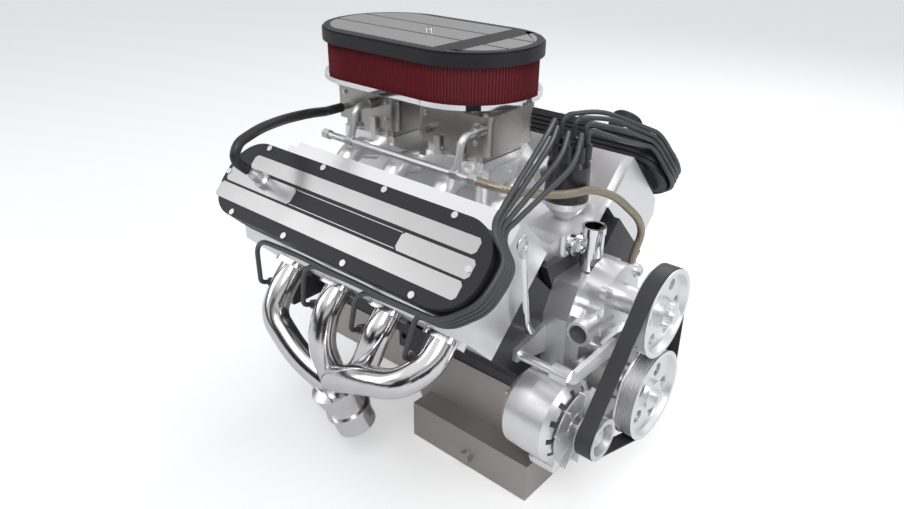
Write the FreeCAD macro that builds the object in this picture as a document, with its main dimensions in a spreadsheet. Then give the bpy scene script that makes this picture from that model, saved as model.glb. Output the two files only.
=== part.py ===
"""Complete 90 degree V8 engine with twin carburettors, headers and a ribbed-belt front drive.

Frame: +X points forwards to the pulleys, +Y to the engine's left bank, +Z up.
The origin is on the crankshaft axis, in the plane of the block's rear (bellhousing) face.
Parts of the right bank are built upright, with +Z along the cylinders and +Y towards the
valley, and are then turned about the crankshaft axis by the bank angle.  The left bank's
castings are the mirror image of the right ones, set back by the rod offset.
"""
import FreeCAD, Part
import math
import os
import re

import Sketcher
from FreeCAD import Placement, Rotation, Vector

# ---------------------------------------------------------------- driving sizes, millimetres
SIZES = {
    # cylinders and crankshaft
    "bank_angle": 45, "bore_pitch": 111.25, "bore_radius": 52.4, "bank_stagger": 20,
    "first_bore": 100, "deck_height": 241.3, "crank_throw": 50.8, "rod_length": 157.5,
    "piston_crown": 31.5, "piston_skirt": 20, "bore_clearance": 0.06, "pin_radius": 11.8,
    "main_radius": 38.1, "main_width": 25, "rod_journal_radius": 26.7, "rod_width": 19,
    "rod_gap": 1, "web_thickness": 17, "counterweight_radius": 72, "bearing_clearance": 0.05,
    "crankcase_radius": 90, "seal_gap": 0.3,
    # block casting
    "block_length": 505, "rail_drop": 8, "rail_half": 122, "skirt_half": 146, "skirt_top": 40,
    "deck_out": 76, "deck_in": 62, "lifter_deck": 145, "lifter_in": 103, "valley_floor": 165,
    "china_wall_top": 204, "china_wall_thick": 14,
    "bell_radius": 196, "bell_thick": 14, "bell_bolt_half": 172, "bell_bolt_height": 96,
    "bell_bolt_radius": 5.6, "mount_pad": 84, "mount_bolt_radius": 5.6, "mount_hole_depth": 30,
    "mount_bolt_gap": 62,
    "china_reach": 185, "cap_half": 60, "bore_bottom": 66, "mount_pad_x": 300, "mount_pad_reach": 156,
    "mount_pad_rise": 15,
    # cylinder heads
    "gasket_thick": 1, "head_length": 494, "head_height": 98, "head_out": 80, "head_in": 95,
    "valve_offset": 24, "intake_valve_radius": 25, "exhaust_valve_radius": 20,
    "valve_stem_radius": 4, "guide_clearance": 0.05, "chamber_depth": 15, "valve_u": -8,
    "port_height": 46, "intake_port_half": 15, "pushrod_lean": 9.9, "exhaust_port_radius": 17,
    "valve_length": 117.5, "spring_radius": 16, "spring_wire": 3, "spring_length": 38,
    "exhaust_face_chamfer": 22,
    # camshaft and valve gear
    "cam_height": 118, "cam_journal_radius": 26, "cam_base_radius": 18, "cam_nose_radius": 8,
    "cam_nose_offset": 17.5, "lobe_width": 12, "lifter_radius": 11.1, "lifter_length": 48,
    "pushrod_radius": 4, "pushrod_length": 222.5, "rocker_pivot_u": 26, "rocker_width": 17,
    "pushrod_top_u": 48, "rocker_pivot_rise": 32,
    # valve covers
    "cover_length": 548, "cover_half_width": 66, "cover_height": 63, "cover_wall": 4,
    "cover_end_radius": 60, "rail_width": 9, "rail_thick": 7, "cover_screw_radius": 3,
    "cover_screw_pitch": 132, "cover_screw_row": 60, "cover_screw_end": 258, "screw_head": 2,
    "cover_fin_gap": 9,
    # bottom end details
    "cap_depth": 58, "cap_bolt_radius": 9, "cap_bolt_head": 10, "cap_bolt_y": 47,
    "flange_thick": 8, "crank_flange_radius": 44, "snout_radius": 17.5, "snout_length": 140,
    "cheek_radius": 34, "counterweight_offset": 30, "counterweight_cut": 10,
    "flange_bolt_circle": 38.1, "flange_bolt_radius": 4.8, "pilot_radius": 19, "pilot_depth": 10,
    "pushrod_hole_radius": 5.6, "plug_hole_radius": 7, "plug_shift": -16,
    "plug_rise": 20, "plug_notch": 17, "plug_notch_depth": 12, "rocker_floor": 12,
    "pin_half": 36, "rod_eye_radius": 36, "cam_core_radius": 15, "cam_start": 12, "cam_length": 505,
    "cam_journal_width": 20, "cam_flank_cos": 0.82, "cam_flank_sin": 0.572, "valve_ratio": 1.55,
    "distributor_spigot": 8.3, "distributor_x": 458,
    # cover details
    "cover_shift": 0, "cover_screw_shift": -9, "cover_shoulder": 6, "cover_waist_radius": 40,
    "cover_fin_groove": 3, "cover_fin_depth": 3, "cover_screw_depth": 3,
    "pcv_hole_radius": 9, "pcv_x": 90, "pcv_u": 5, "breather_hole_radius": 15,
    "breather_x": 430, "breather_u": 20,
    # intake manifold
    "tray_step": 16, "tray_thick": 26, "plenum_half_width": 62, "plenum_round": 20,
    "intake_rear": 14, "intake_front": 491, "outlet_face": 505, "crossover_height": 36,
    "intake_flange": 12, "runner_radius": 19, "runner_reach": 50, "runner_gather": 0.12,
    "outlet_bore": 14, "outlet_height": 222, "carb_rear_x": 94, "carb_front_x": 290, "carb_pad": 124,
    "pad_thick": 12, "carb_seat": 322, "barrel_radius": 20, "barrel_x": 24, "barrel_y": 25,
    # carburettors
    "carb_foot": 118, "throttle_body": 14, "carb_length": 150, "carb_width": 124, "carb_top": 409,
    "horn_radius": 64, "carb_inlet_reach": 84, "carb_inlet_rear": 124, "carb_inlet_front": 356,
    "throttle_shaft_radius": 4, "throttle_half": 66,
    "throttle_height": 7, "choke_offset": 0, "choke_half": 68, "choke_plate_half": 50,
    # air cleaner
    "air_middle": 189, "lid_roof": 6, "air_length": 411, "air_width": 236, "air_round": 117,
    "air_base_z": 415,
    "air_rim": 8, "air_lip": 3, "air_sheet": 1.5, "filter_inset": 10, "filter_thick": 22,
    "air_lid_z": 478, "air_top_z": 500,
    # ignition
    "distributor_y": 27, "distributor_bore": 15, "cap_z": 272,
    "cap_radius": 36, "cap_height": 74, "tower_radius": 8, "tower_ring": 26, "tower_height": 16,
    "rotor_shaft_radius": 6.5, "rotor_rise": 40,
    # timing drive
    "timing_depth": 43, "timing_half": 88, "timing_top": 178, "timing_wall": 5, "chain_x": 512,
    "chain_width": 14, "cam_sprocket_radius": 42, "crank_sprocket_radius": 21, "chain_thick": 8,
    "damper_x": 584, "damper_width": 30, "damper_radius": 80, "damper_hub_radius": 24,
    # belt drive
    "pulley_face": 666, "pulley_width": 30, "crank_pulley_radius": 74, "pump_pulley_radius": 69,
    "alternator_pulley_radius": 31, "belt_back": 2, "belt_gap": 0.3,
    "belt_ribs": 7, "rib_pitch": 3.56, "pump_height": 150, "alternator_y": -158, "alternator_z": 12,
    "pulley_lip": 1.5, "pulley_web": 6, "groove_depth": 3,
    # water pump
    "pump_face": 548, "pump_thick": 14, "pump_body_radius": 52, "pump_body_length": 40,
    "pump_nose_radius": 22, "pump_nose_end": 628, "pump_shaft_radius": 8, "impeller_radius": 40,
    "neck_x": 529, "neck_radius": 19, "neck_bore": 14.5, "neck_bead_length": 11, "hose_bead": 1.5,
    "neck_low": 180, "neck_top": 252,
    # oil pan
    "pan_rail": 8, "pan_half": 112, "pan_sheet": 2, "pan_front": 543, "pan_shallow": 100,
    "sump_rear": 290, "sump_front": 540, "sump_depth": 190, "sump_half": 156, "sump_box_top": 118,
    "pan_flange": 12, "pan_rear": 18, "pan_nose_half": 82,
    # exhaust
    "header_radius": 22, "header_wall": 1.6, "header_flange": 9, "collector_radius": 34,
    # alternator
    "alternator_radius": 66, "alternator_rear": 522, "alternator_front": 612, "fan_radius": 62,
    "alternator_shaft_radius": 8.5,
    # small parts
    "plug_thread_radius": 6.9, "boot_radius": 10, "boot_length": 46, "boot_stem": 30,
    "wire_radius": 4, "lead_climb": 36, "lead_step": 4, "wire_gap": 9.5, "header_reach": 46,
    "header_pad": 31, "header_pad_low": 24,
    "sump_slope": 36, "drain_radius": 11, "pump_shift": 6, "pump_y": -12,
    "timing_shoulder": 128, "timing_crown": 62, "fuel_pump_y": 98, "fuel_pump_z": 62,
    "fuel_pump_forward": 27,
    "roller_radius": 3.2, "inlet_radius": 20, "inlet_bead_length": 16, "inlet_reach": 74, "inlet_drop": 31,
    "rail_radius": 6, "rail_y": -126, "rail_z": 326, "rail_rear": 58, "rail_front": 400,
    "hose_radius": 6.5, "breather_radius": 29, "breather_height": 44, "pcv_hose_radius": 8,
    "stick_tube_radius": 4.5,
}

doc = FreeCAD.newDocument("V8Engine")
sheet = doc.addObject("Spreadsheet::Sheet", "Sizes")
for row, (alias, number) in enumerate(SIZES.items(), start=1):
    sheet.set("A%d" % row, alias)
    sheet.set("B%d" % row, str(number))
    sheet.setAlias("B%d" % row, alias)
doc.recompute()

WORD = re.compile(r"[a-z][a-z0-9_]*")
NODES = []
TURNS = {
    "x": Rotation(Vector(0, 1, 0), 90), "-x": Rotation(Vector(0, 1, 0), -90),
    "y": Rotation(Vector(1, 0, 0), -90), "-y": Rotation(Vector(1, 0, 0), 90),
    "z": Rotation(), "-z": Rotation(Vector(1, 0, 0), 180),
}
YZ_PLANE = Rotation(Vector(1, 1, 1), 120)


def turn_to(along):
    """The turn that lays +Z along a named axis, or the turn itself."""
    return along if isinstance(along, Rotation) else TURNS[along]


# ---------------------------------------------------------------- how pieces are made
def bind(text):
    """An expression in size names, with each name pointing at its cell."""
    return WORD.sub(lambda m: "Sizes." + m.group() if m.group() in SIZES else m.group(), str(text))


def measure(text):
    """The value of an expression in size names."""
    return float(sheet.evalExpression(bind(text)))


def link(thing, **properties):
    for name, text in properties.items():
        thing.setExpression(name, bind(text))
    return thing


def place(thing, at, turn=Rotation()):
    """Sets a place by expressions, one for each axis."""
    thing.Placement = Placement(Vector(), turn)
    for axis, text in zip("xyz", at):
        thing.setExpression("Placement.Base." + axis, bind(text))
    return thing


def box(x, y, z):
    """A block between two expressions on each axis."""
    thing = doc.addObject("Part::Box", "block")
    for name, (low, high) in zip(("Length", "Width", "Height"), (x, y, z)):
        thing.setExpression(name, bind("(%s) - (%s)" % (high, low)))
    return place(thing, (x[0], y[0], z[0]))


def cylinder(radius, length, at, along="z"):
    thing = link(doc.addObject("Part::Cylinder", "round"), Radius=radius, Height=length)
    return place(thing, at, turn_to(along))


def cone(radius, tip_radius, length, at, along="z"):
    thing = link(doc.addObject("Part::Cone", "taper"), Radius1=radius, Radius2=tip_radius, Height=length)
    return place(thing, at, turn_to(along))


def outline(points, turn=Rotation()):
    """A closed sketch whose corners are pairs of expressions."""
    sketch = doc.addObject("Sketcher::SketchObject", "outline")
    sketch.Placement = Placement(Vector(), turn)
    corners = [Vector(measure(u), measure(v), 0) for u, v in points]
    count = len(corners)
    for index, corner in enumerate(corners):
        sketch.addGeometry(Part.LineSegment(corner, corners[(index + 1) % count]))
    for index in range(count):
        sketch.addConstraint(Sketcher.Constraint("Coincident", index, 2, (index + 1) % count, 1))
    for index, (pair, corner) in enumerate(zip(points, corners)):
        for kind, text, number in (("DistanceX", pair[0], corner.x), ("DistanceY", pair[1], corner.y)):
            made = sketch.addConstraint(Sketcher.Constraint(kind, -1, 1, index, 1, number))
            sketch.setExpression("Constraints[%d]" % made, bind(text))
    return sketch


def extrude(points, x_low, x_high):
    """A prism along X whose outline is given in Y and Z."""
    sketch = outline(points, YZ_PLANE)
    link(sketch, **{"Placement.Base.x": x_low})
    prism = doc.addObject("Part::Extrusion", "prism")
    prism.Base, prism.DirMode, prism.Solid = sketch, "Normal", True
    return link(prism, LengthFwd="(%s) - (%s)" % (x_high, x_low))


def turned(points, at=("0", "0", "0"), along="x"):
    """A solid of revolution: each point is a distance along the axis and a radius."""
    sketch = outline(points)
    solid = doc.addObject("Part::Revolution", "turned")
    solid.Source, solid.Axis, solid.Angle, solid.Solid = sketch, Vector(1, 0, 0), 360, True
    spin = {"x": Rotation(), "-x": Rotation(Vector(0, 0, 1), 180), "y": Rotation(Vector(0, 0, 1), 90),
            "-y": Rotation(Vector(0, 0, 1), -90), "z": Rotation(Vector(0, 1, 0), -90),
            "-z": Rotation(Vector(0, 1, 0), 90)}
    return place(solid, at, spin.get(along, along))


def fuse(*pieces):
    if len(pieces) == 1:
        return pieces[0]
    whole = doc.addObject("Part::MultiFuse", "joined")
    whole.Shapes = list(pieces)
    return whole


def cut(base, *tools):
    result = doc.addObject("Part::Cut", "shaped")
    result.Base, result.Tool = base, fuse(*tools)
    return result


def common(*pieces):
    shared = doc.addObject("Part::MultiCommon", "shared")
    shared.Shapes = list(pieces)
    return shared


def round_edges(thing, radius, axis=2):
    """Rounds the straight edges that run along one axis of a finished shape."""
    doc.recompute()
    edges = []
    for index, edge in enumerate(thing.Shape.Edges, start=1):
        if edge.Curve.TypeId != "Part::GeomLine":
            continue
        direction = edge.tangentAt(edge.FirstParameter)
        if abs(abs(direction[axis]) - 1) < 1e-6:
            edges.append((index, measure(radius), measure(radius)))
    smooth = doc.addObject("Part::Fillet", "smooth")
    smooth.Base, smooth.Edges = thing, edges
    return smooth


def rounded_box(x, y, z, radius):
    return round_edges(box(x, y, z), radius)


def tube(points, radius):
    """A round bar along straight runs joined by tangent arcs; points are in millimetres."""
    runs = [Vector(*p) for p in points]
    edges, start = [], runs[0]
    for index in range(1, len(runs) - 1):
        before, corner, after = runs[index - 1], runs[index], runs[index + 1]
        arrive, leave = (corner - before), (after - corner)
        turn = arrive.getAngle(leave)
        shorter = min(arrive.Length, leave.Length)
        reach = 0.45 * shorter
        arrive.normalize()
        leave.normalize()
        first, last = corner - arrive * reach, corner + leave * reach
        bend_radius = reach / math.tan(turn / 2)
        inward = (leave - arrive).normalize()
        hub = corner + inward * (bend_radius ** 2 + reach ** 2) ** 0.5
        middle = hub - inward * bend_radius
        edges += [Part.LineSegment(start, first).toShape(), Part.Arc(first, middle, last).toShape()]
        start = last
    edges.append(Part.LineSegment(start, runs[-1]).toShape())
    path = Part.Wire(edges)
    heading = (runs[1] - runs[0])
    ring = Part.Wire([Part.Circle(runs[0], heading, radius).toShape()])
    return path.makePipeShell([ring], True, False)


def shaped(shape):
    """A computed shape as a document object, for forms that no feature describes."""
    thing = doc.addObject("Part::Feature", "formed")
    thing.Shape = shape
    return thing


def node(label, *pieces, bank=0, forwards=None):
    """A named sub-part: its pieces, turned on to a bank or moved along the engine."""
    part = doc.addObject("Part::Compound", label)
    part.Label, part.Links = label, list(pieces)
    if bank:
        part.Placement = Placement(Vector(), Rotation(Vector(bank, 0, 0), 1))
        link(part, **{"Placement.Rotation.Angle": "bank_angle"})
    if forwards:
        link(part, **{"Placement.Base.x": forwards})
    NODES.append(part)
    return part


def mirrored(source):
    twin = doc.addObject("Part::Mirroring", "twin")
    twin.Source, twin.Normal = source, Vector(0, 1, 0)
    return twin


def left_of(right_node, label):
    """The left bank's copy of a right-bank casting."""
    return node(label, mirrored(right_node), forwards="-bank_stagger")


def bank_y(across, along):
    return "((%s)*cos(bank_angle) - (%s)*sin(bank_angle))" % (across, along)


def bank_z(across, along):
    return "((%s)*sin(bank_angle) + (%s)*cos(bank_angle))" % (across, along)


# ---------------------------------------------------------------- places worked out once
HEAD_BASE = "(deck_height + gasket_thick)"
HEAD_TOP = "(deck_height + gasket_thick + head_height)"
COVER_TOP = "(deck_height + gasket_thick + head_height + cover_height)"
BANK_MIDDLE = "(first_bore + 1.5*bore_pitch)"
HEAD_REAR = "(%s - head_length/2)" % BANK_MIDDLE
HEAD_FRONT = "(%s + head_length/2)" % BANK_MIDDLE
BORES = ["(first_bore + %d*bore_pitch)" % i for i in range(4)]
THROWS = ["(first_bore - bank_stagger/2 + %d*bore_pitch)" % i for i in range(4)]
MAINS = ["(first_bore - bank_stagger/2 + %g*bore_pitch)" % (i - 0.5) for i in range(5)]
THROW_ANGLES = (45, 315, 135, 225)
CAM_ACROSS = "(cam_height*sin(bank_angle))"
CAM_ALONG = "(cam_height*cos(bank_angle))"


# ---------------------------------------------------------------- block and crankshaft
def engine_block():
    side = [("-rail_half", "-rail_drop"), ("-rail_half", "10"), ("-skirt_half", "skirt_top"),
            (bank_y("-deck_out", "deck_height"), bank_z("-deck_out", "deck_height")),
            (bank_y("deck_in", "deck_height"), bank_z("deck_in", "deck_height")),
            (bank_y("deck_in", "lifter_deck"), bank_z("deck_in", "lifter_deck")),
            (bank_y("lifter_in", "lifter_deck"), bank_z("lifter_in", "lifter_deck"))]
    other = [("-(%s)" % y, z) for y, z in reversed(side)]
    casting = extrude(side + other, "0", "block_length")
    ends = []
    low = bank_y("deck_in", "lifter_deck")
    wall = [(low, "valley_floor - 20"), (bank_y("deck_in", "china_reach"), "china_wall_top"),
            ("-(%s)" % bank_y("deck_in", "china_reach"), "china_wall_top"),
            ("-(%s)" % low, "valley_floor - 20")]
    ends.append(extrude(wall, "0", "china_wall_thick"))
    ends.append(extrude(wall, "block_length - china_wall_thick", "block_length"))
    flange = cylinder("bell_radius", "bell_thick", ("0", "0", "22"), "x")
    flange = cut(flange, box(("-1", "bell_thick + 1"), ("-bell_radius", "bell_radius"),
                             ("-bell_radius", "-rail_drop")))
    pads = [box((pad_x + " - mount_pad/2", pad_x + " + mount_pad/2"),
                span(side_sign, "skirt_half - 60", "mount_pad_reach"),
                ("-rail_drop", "mount_pad_rise + 30"))
            for side_sign, pad_x in ((-1, "mount_pad_x"), (1, "mount_pad_x - bank_stagger"))]
    whole = fuse(casting, *ends, flange, *pads)
    tools = []
    for rear, front in zip(MAINS, MAINS[1:]):
        tools.append(cylinder("crankcase_radius", "(%s) - (%s) - main_width" % (front, rear),
                              (rear + " + main_width/2", "0", "0"), "x"))
        tools.append(box((rear + " + main_width/2", front + " - main_width/2"),
                         ("-crankcase_radius", "crankcase_radius"), ("-rail_drop - 1", "0")))
    tools.append(cylinder("main_radius + bearing_clearance", "block_length + 2", ("-1", "0", "0"), "x"))
    tools.append(cylinder("crank_flange_radius + 3", "flange_thick + 2", ("-1", "0", "0"), "x"))
    tools.append(box(("-1", "block_length + 1"), ("-main_radius - bearing_clearance",
                     "main_radius + bearing_clearance"), ("-rail_drop - 1", "0")))
    tools.append(box(("bell_thick + 4", "block_length - 12"),
                     ("-cap_half - seal_gap", "cap_half + seal_gap"),
                     ("-rail_drop - 1", "0")))
    tools.append(cylinder("cam_journal_radius + bearing_clearance", "block_length + 2",
                          ("-1", "0", "cam_height"), "x"))
    for side_sign in (1, -1):
        holes = []
        for bore in BORES:
            x = bore if side_sign > 0 else bore + " - bank_stagger"
            holes.append(cylinder("bore_radius", "deck_height", (x, "0", "bore_bottom"), "z"))
            for offset in ("-valve_offset", "valve_offset"):
                holes.append(cylinder("lifter_radius + bearing_clearance", "lifter_deck",
                                      ("%s + %s" % (x, offset), "%d*%s" % (side_sign, CAM_ACROSS),
                                       CAM_ALONG)))
        group = doc.addObject("Part::Compound", "bank_holes")
        group.Links = holes
        group.Placement = Placement(Vector(), Rotation(Vector(side_sign, 0, 0), 1))
        tools.append(link(group, **{"Placement.Rotation.Angle": "bank_angle"}))
    tools.append(cylinder("distributor_spigot + bearing_clearance", "200",
                          ("distributor_x", "distributor_y", "cam_height + 30")))
    for side_sign in (-1, 1):
        tools.append(cylinder("bell_bolt_radius", "bell_thick + 20",
                              ("-1", "%d*bell_bolt_half" % side_sign, "bell_bolt_height"), "x"))
        for step in (-1, 1):
            tools.append(cylinder("mount_bolt_radius", "mount_hole_depth",
                                  ("mount_pad_x - %d*bank_stagger + %d*mount_bolt_gap/2" % (side_sign > 0, step),
                                   "%d*(mount_pad_reach + 1)" % side_sign, "mount_pad_rise"),
                                  "-y" if side_sign > 0 else "y"))
    return node("engine_block", cut(whole, *tools))


def span(sign, near, far):
    """A pair of limits on the right (-1) or left (+1) side of the middle."""
    return ("%s" % near, "%s" % far) if sign > 0 else ("-(%s)" % far, "-(%s)" % near)



def main_bearing_caps():
    caps = []
    for middle in MAINS:
        body = box((middle + " - main_width/2", middle + " + main_width/2"), ("-cap_half", "cap_half"),
                   ("-cap_depth", "-seal_gap"))
        bore = cylinder("main_radius + bearing_clearance", "main_width + 2",
                        (middle + " - main_width/2 - 1", "0", "0"), "x")
        heads = [cylinder("cap_bolt_radius", "cap_bolt_head",
                          (middle, "%d*cap_bolt_y" % side_sign, "-cap_depth"), "-z")
                 for side_sign in (-1, 1)]
        caps.append(fuse(cut(body, bore), *heads))
    return node("main_bearing_caps", *caps)


def throw_place(angle, radius):
    """Y and Z of a point at a radius on a throw, measured from straight up towards the right."""
    return "(-(%s)*sin(%s))" % (radius, angle), "((%s)*cos(%s))" % (radius, angle)


def crankshaft():
    pieces = [cylinder("main_radius", "block_length", ("0", "0", "0"), "x"),
              cylinder("crank_flange_radius", "flange_thick", ("0", "0", "0"), "x"),
              cylinder("snout_radius", "snout_length", ("block_length", "0", "0"), "x")]
    gaps = []
    for middle, angle in zip(THROWS, THROW_ANGLES):
        y, z = throw_place(angle, "crank_throw")
        half = "(rod_width + rod_gap/2)"
        gaps.append(cylinder("main_radius + 1", "2*%s + 2*web_thickness" % half,
                             ("%s - %s - web_thickness" % (middle, half), "0", "0"), "x"))
        pieces.append(("journal", cylinder("rod_journal_radius", "2*%s" % half,
                                           ("%s - %s" % (middle, half), y, z), "x")))
        for start in ("%s - %s - web_thickness" % (middle, half), "%s + %s" % (middle, half)):
            heavy_y, heavy_z = throw_place(angle + 180, "counterweight_offset")
            cheek = cylinder("cheek_radius", "web_thickness", (start, y, z), "x")
            centre = cylinder("main_radius + 6", "web_thickness", (start, "0", "0"), "x")
            weight = cylinder("counterweight_radius", "web_thickness", (start, "0", "0"), "x")
            keep_y, keep_z = throw_place(angle + 180, "counterweight_radius + counterweight_cut")
            fan = cylinder("counterweight_radius", "web_thickness", (start, keep_y, keep_z), "x")
            pieces.append(("web", fuse(cheek, centre, common(weight, fan))))
    plain = [p for p in pieces if not isinstance(p, tuple)]
    shaft = cut(plain[0], *gaps)
    tapped = [cylinder("flange_bolt_radius", "flange_thick + 1", ("-1",
              "flange_bolt_circle*cos(%d)" % a, "flange_bolt_circle*sin(%d)" % a),
              "x") for a in range(0, 360, 60)]
    pilot = cylinder("pilot_radius", "pilot_depth + 1", ("-1", "0", "0"), "x")
    whole = fuse(shaft, *plain[1:], *[p[1] for p in pieces if isinstance(p, tuple)])
    drive = sprocket("crank_sprocket_radius", 21, "0", "snout_radius")
    return node("crankshaft", cut(whole, pilot, *tapped), drive)


def cylinder_head_right():
    sides = [("-head_out", HEAD_BASE), ("head_in", HEAD_BASE), ("head_in", HEAD_TOP),
             ("-head_out + exhaust_face_chamfer", HEAD_TOP),
             ("-head_out", HEAD_TOP + " - exhaust_face_chamfer")]
    casting = extrude(sides, HEAD_REAR, HEAD_FRONT)
    tools = []
    for bore in BORES:
        tools.append(cylinder("bore_radius - 3", "chamber_depth", (bore, "0", HEAD_BASE + " - 1"), "z"))
        for sign, radius in ((-1, "intake_valve_radius"), (1, "exhaust_valve_radius")):
            x = "%s + %d*valve_offset" % (bore, sign)
            tools.append(cylinder(radius + " - 4", "port_height - 4", (x, "valve_u", HEAD_BASE), "z"))
            tools.append(cylinder("valve_stem_radius + guide_clearance", "head_height",
                                  (x, "valve_u", HEAD_BASE)))
            tools.append(cylinder("pushrod_hole_radius", "head_height + 2",
                                  (x, PUSHROD_ENTRY, HEAD_BASE + " - 1"),
                                  Rotation(Vector(1, 0, 0), measure("pushrod_lean"))))
        tools.append(box(("%s - intake_port_half" % bore, "%s + intake_port_half" % bore),
                         ("valve_u", "head_in + 1"),
                         (HEAD_BASE + " + port_height - 22", HEAD_BASE + " + port_height + 14")))
        tools.append(cylinder("exhaust_port_radius", "head_out + valve_u + 1",
                              ("%s + valve_offset" % bore, "valve_u", HEAD_BASE + " + port_height"), "-y"))
        plug_u, plug_n = plug_line("24")
        tools.append(cylinder("plug_hole_radius", "80", (bore + " + plug_shift", plug_u, plug_n), PLUG_IN))
        tools.append(box((bore + " + plug_shift - plug_notch", bore + " + plug_shift + plug_notch"),
                         ("-head_out - 1", "-head_out + plug_notch_depth"),
                         (HEAD_BASE + " - 1", HEAD_BASE + " + plug_rise + 14")))
    tools.append(box((HEAD_REAR + " + rail_width", HEAD_FRONT + " - rail_width"),
                     ("-cover_half_width + rail_width + 4", "cover_half_width - rail_width"),
                     (HEAD_TOP + " - rocker_floor", HEAD_TOP + " + 1")))
    return node("cylinder_head_right", cut(casting, *tools), bank=1)


PUSHROD_ENTRY = ("(%s - (%s - 1 - %s - cam_base_radius - lifter_length)*tan(pushrod_lean))"
                 % (CAM_ACROSS, HEAD_BASE, CAM_ALONG))
PLUG_IN = Rotation(Vector(1, 0, 0), -80)


def head_gaskets():
    sheet_metal = box((HEAD_REAR, HEAD_FRONT), ("-deck_out", "deck_in"), ("deck_height", HEAD_BASE))
    holes = [cylinder("bore_radius + 1", "gasket_thick + 2",
                      (bore, "0", "deck_height - 1")) for bore in BORES]
    right = node("head_gasket_right", cut(sheet_metal, *holes), bank=1)
    NODES.remove(right)
    return node("head_gaskets", right, left_piece(right))


def left_piece(right):
    """A mirrored, set-back copy used inside a shared sub-part."""
    moved = doc.addObject("Part::Compound", "left_copy")
    moved.Links = [mirrored(right)]
    return link(moved, **{"Placement.Base.x": "-bank_stagger"})


# ---------------------------------------------------------------- pistons, camshaft and valve gear
RIGHT, LEFT = 1, -1
FIRING = {(RIGHT, 0): 0, (RIGHT, 1): 270, (RIGHT, 2): 90, (RIGHT, 3): 540,
          (LEFT, 0): 450, (LEFT, 1): 360, (LEFT, 2): 180, (LEFT, 3): 630}
INTAKE_PEAK, EXHAUST_PEAK = 470, 250


def on_bank(bank, *pieces):
    """A group of upright pieces, turned on to one bank."""
    group = doc.addObject("Part::Compound", "bank_group")
    group.Links = list(pieces)
    group.Placement = Placement(Vector(), Rotation(Vector(bank, 0, 0), 1))
    return link(group, **{"Placement.Rotation.Angle": "bank_angle"})


def bore_x(bank, number):
    return BORES[number] if bank == RIGHT else "(%s - bank_stagger)" % BORES[number]


def pin_height(bank, number):
    """Height of a piston pin along its bank for the throw's rest angle."""
    swing = THROW_ANGLES[number] - bank * 45
    return ("(crank_throw*cos(%d) + sqrt(rod_length*rod_length - (crank_throw*sin(%d))*(crank_throw*sin(%d))))"
            % (swing, swing, swing))


def pistons():
    groups = []
    for bank in (RIGHT, LEFT):
        made = []
        for number in range(4):
            x, pin = bore_x(bank, number), pin_height(bank, number)
            body = turned([("-piston_skirt", "0"), ("-piston_skirt", "bore_radius - bore_clearance"),
                           ("piston_crown - 3", "bore_radius - bore_clearance"),
                           ("piston_crown", "bore_radius - 3"), ("piston_crown", "0")], (x, "0", pin), "z")
            hollow = cylinder("bore_radius - 6", "piston_skirt + piston_crown - 12",
                              (x, "0", pin + " - piston_skirt - 1"))
            slot = box(("%s - rod_width/2 - 3" % x, "%s + rod_width/2 + 3" % x), ("-24", "24"),
                       (pin + " - piston_skirt - 1", pin + " + 18"))
            bosses = box(("%s - bore_radius + 8" % x, "%s + bore_radius - 8" % x), ("-19", "19"),
                         (pin + " - 19", pin + " + 19"))
            bosses = common(bosses, cylinder("bore_radius - 5", "60", (x, "0", pin + " - 30")))
            bore = cylinder("pin_radius + 0.02", "2*bore_radius", ("%s - bore_radius" % x, "0", pin), "x")
            made.append(cut(fuse(cut(body, hollow), bosses), slot, bore))
            made.append(cylinder("pin_radius", "2*pin_half", ("%s - pin_half" % x, "0", pin), "x"))
        groups.append(on_bank(bank, *made))
    return node("pistons_and_pins", *groups)


def connecting_rods():
    groups = []
    for bank in (RIGHT, LEFT):
        made = []
        for number in range(4):
            swing = THROW_ANGLES[number] - bank * 45
            pin = pin_height(bank, number)
            x = "(%s %s (rod_width + rod_gap)/2 - rod_width/2)" % (THROWS[number], "+" if bank == RIGHT else "-")
            lean = "asin(crank_throw*sin(%d)/rod_length)" % swing
            big = cylinder("rod_eye_radius", "rod_width", ("0", "0", "-rod_length"), "x")
            cap = box(("0", "rod_width"), ("-rod_eye_radius - 6", "rod_eye_radius + 6"),
                      ("-rod_length - 16", "-rod_length + 16"))
            small = cylinder("pin_radius + 6", "rod_width", ("0", "0", "0"), "x")
            beam = extrude([("-15", "-rod_length + rod_eye_radius - 8"),
                            ("15", "-rod_length + rod_eye_radius - 8"),
                            ("10", "-pin_radius - 2"), ("-10", "-pin_radius - 2")], "3", "rod_width - 3")
            holes = [cylinder("rod_journal_radius + bearing_clearance", "rod_width + 2",
                              ("-1", "0", "-rod_length"), "x"),
                     cylinder("pin_radius + 0.02", "rod_width + 2", ("-1", "0", "0"), "x")]
            rod = doc.addObject("Part::Compound", "rod")
            rod.Links = [cut(fuse(big, cap, small, beam), *holes)]
            rod.Placement = Placement(Vector(), Rotation(Vector(-1, 0, 0), 1))
            link(rod, **{"Placement.Rotation.Angle": lean, "Placement.Base.x": x, "Placement.Base.z": pin})
            made.append(rod)
        groups.append(on_bank(bank, *made))
    return node("connecting_rods", *groups)


def lobe_angle(bank, number, peak):
    """How far a lobe still has to turn before it is under its follower."""
    cycle = -FIRING[bank, number] % 720
    return (peak - cycle) / 2


def valve_lift(bank, number, peak):
    return "max(0; cam_nose_offset*cos(%g) + cam_nose_radius - cam_base_radius)" % lobe_angle(bank, number, peak)


def valve_places():
    for bank in (RIGHT, LEFT):
        for number in range(4):
            for sign, peak in ((-1, INTAKE_PEAK), (1, EXHAUST_PEAK)):
                x = "(%s + %d*valve_offset)" % (bore_x(bank, number), sign)
                yield bank, number, peak, x


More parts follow.
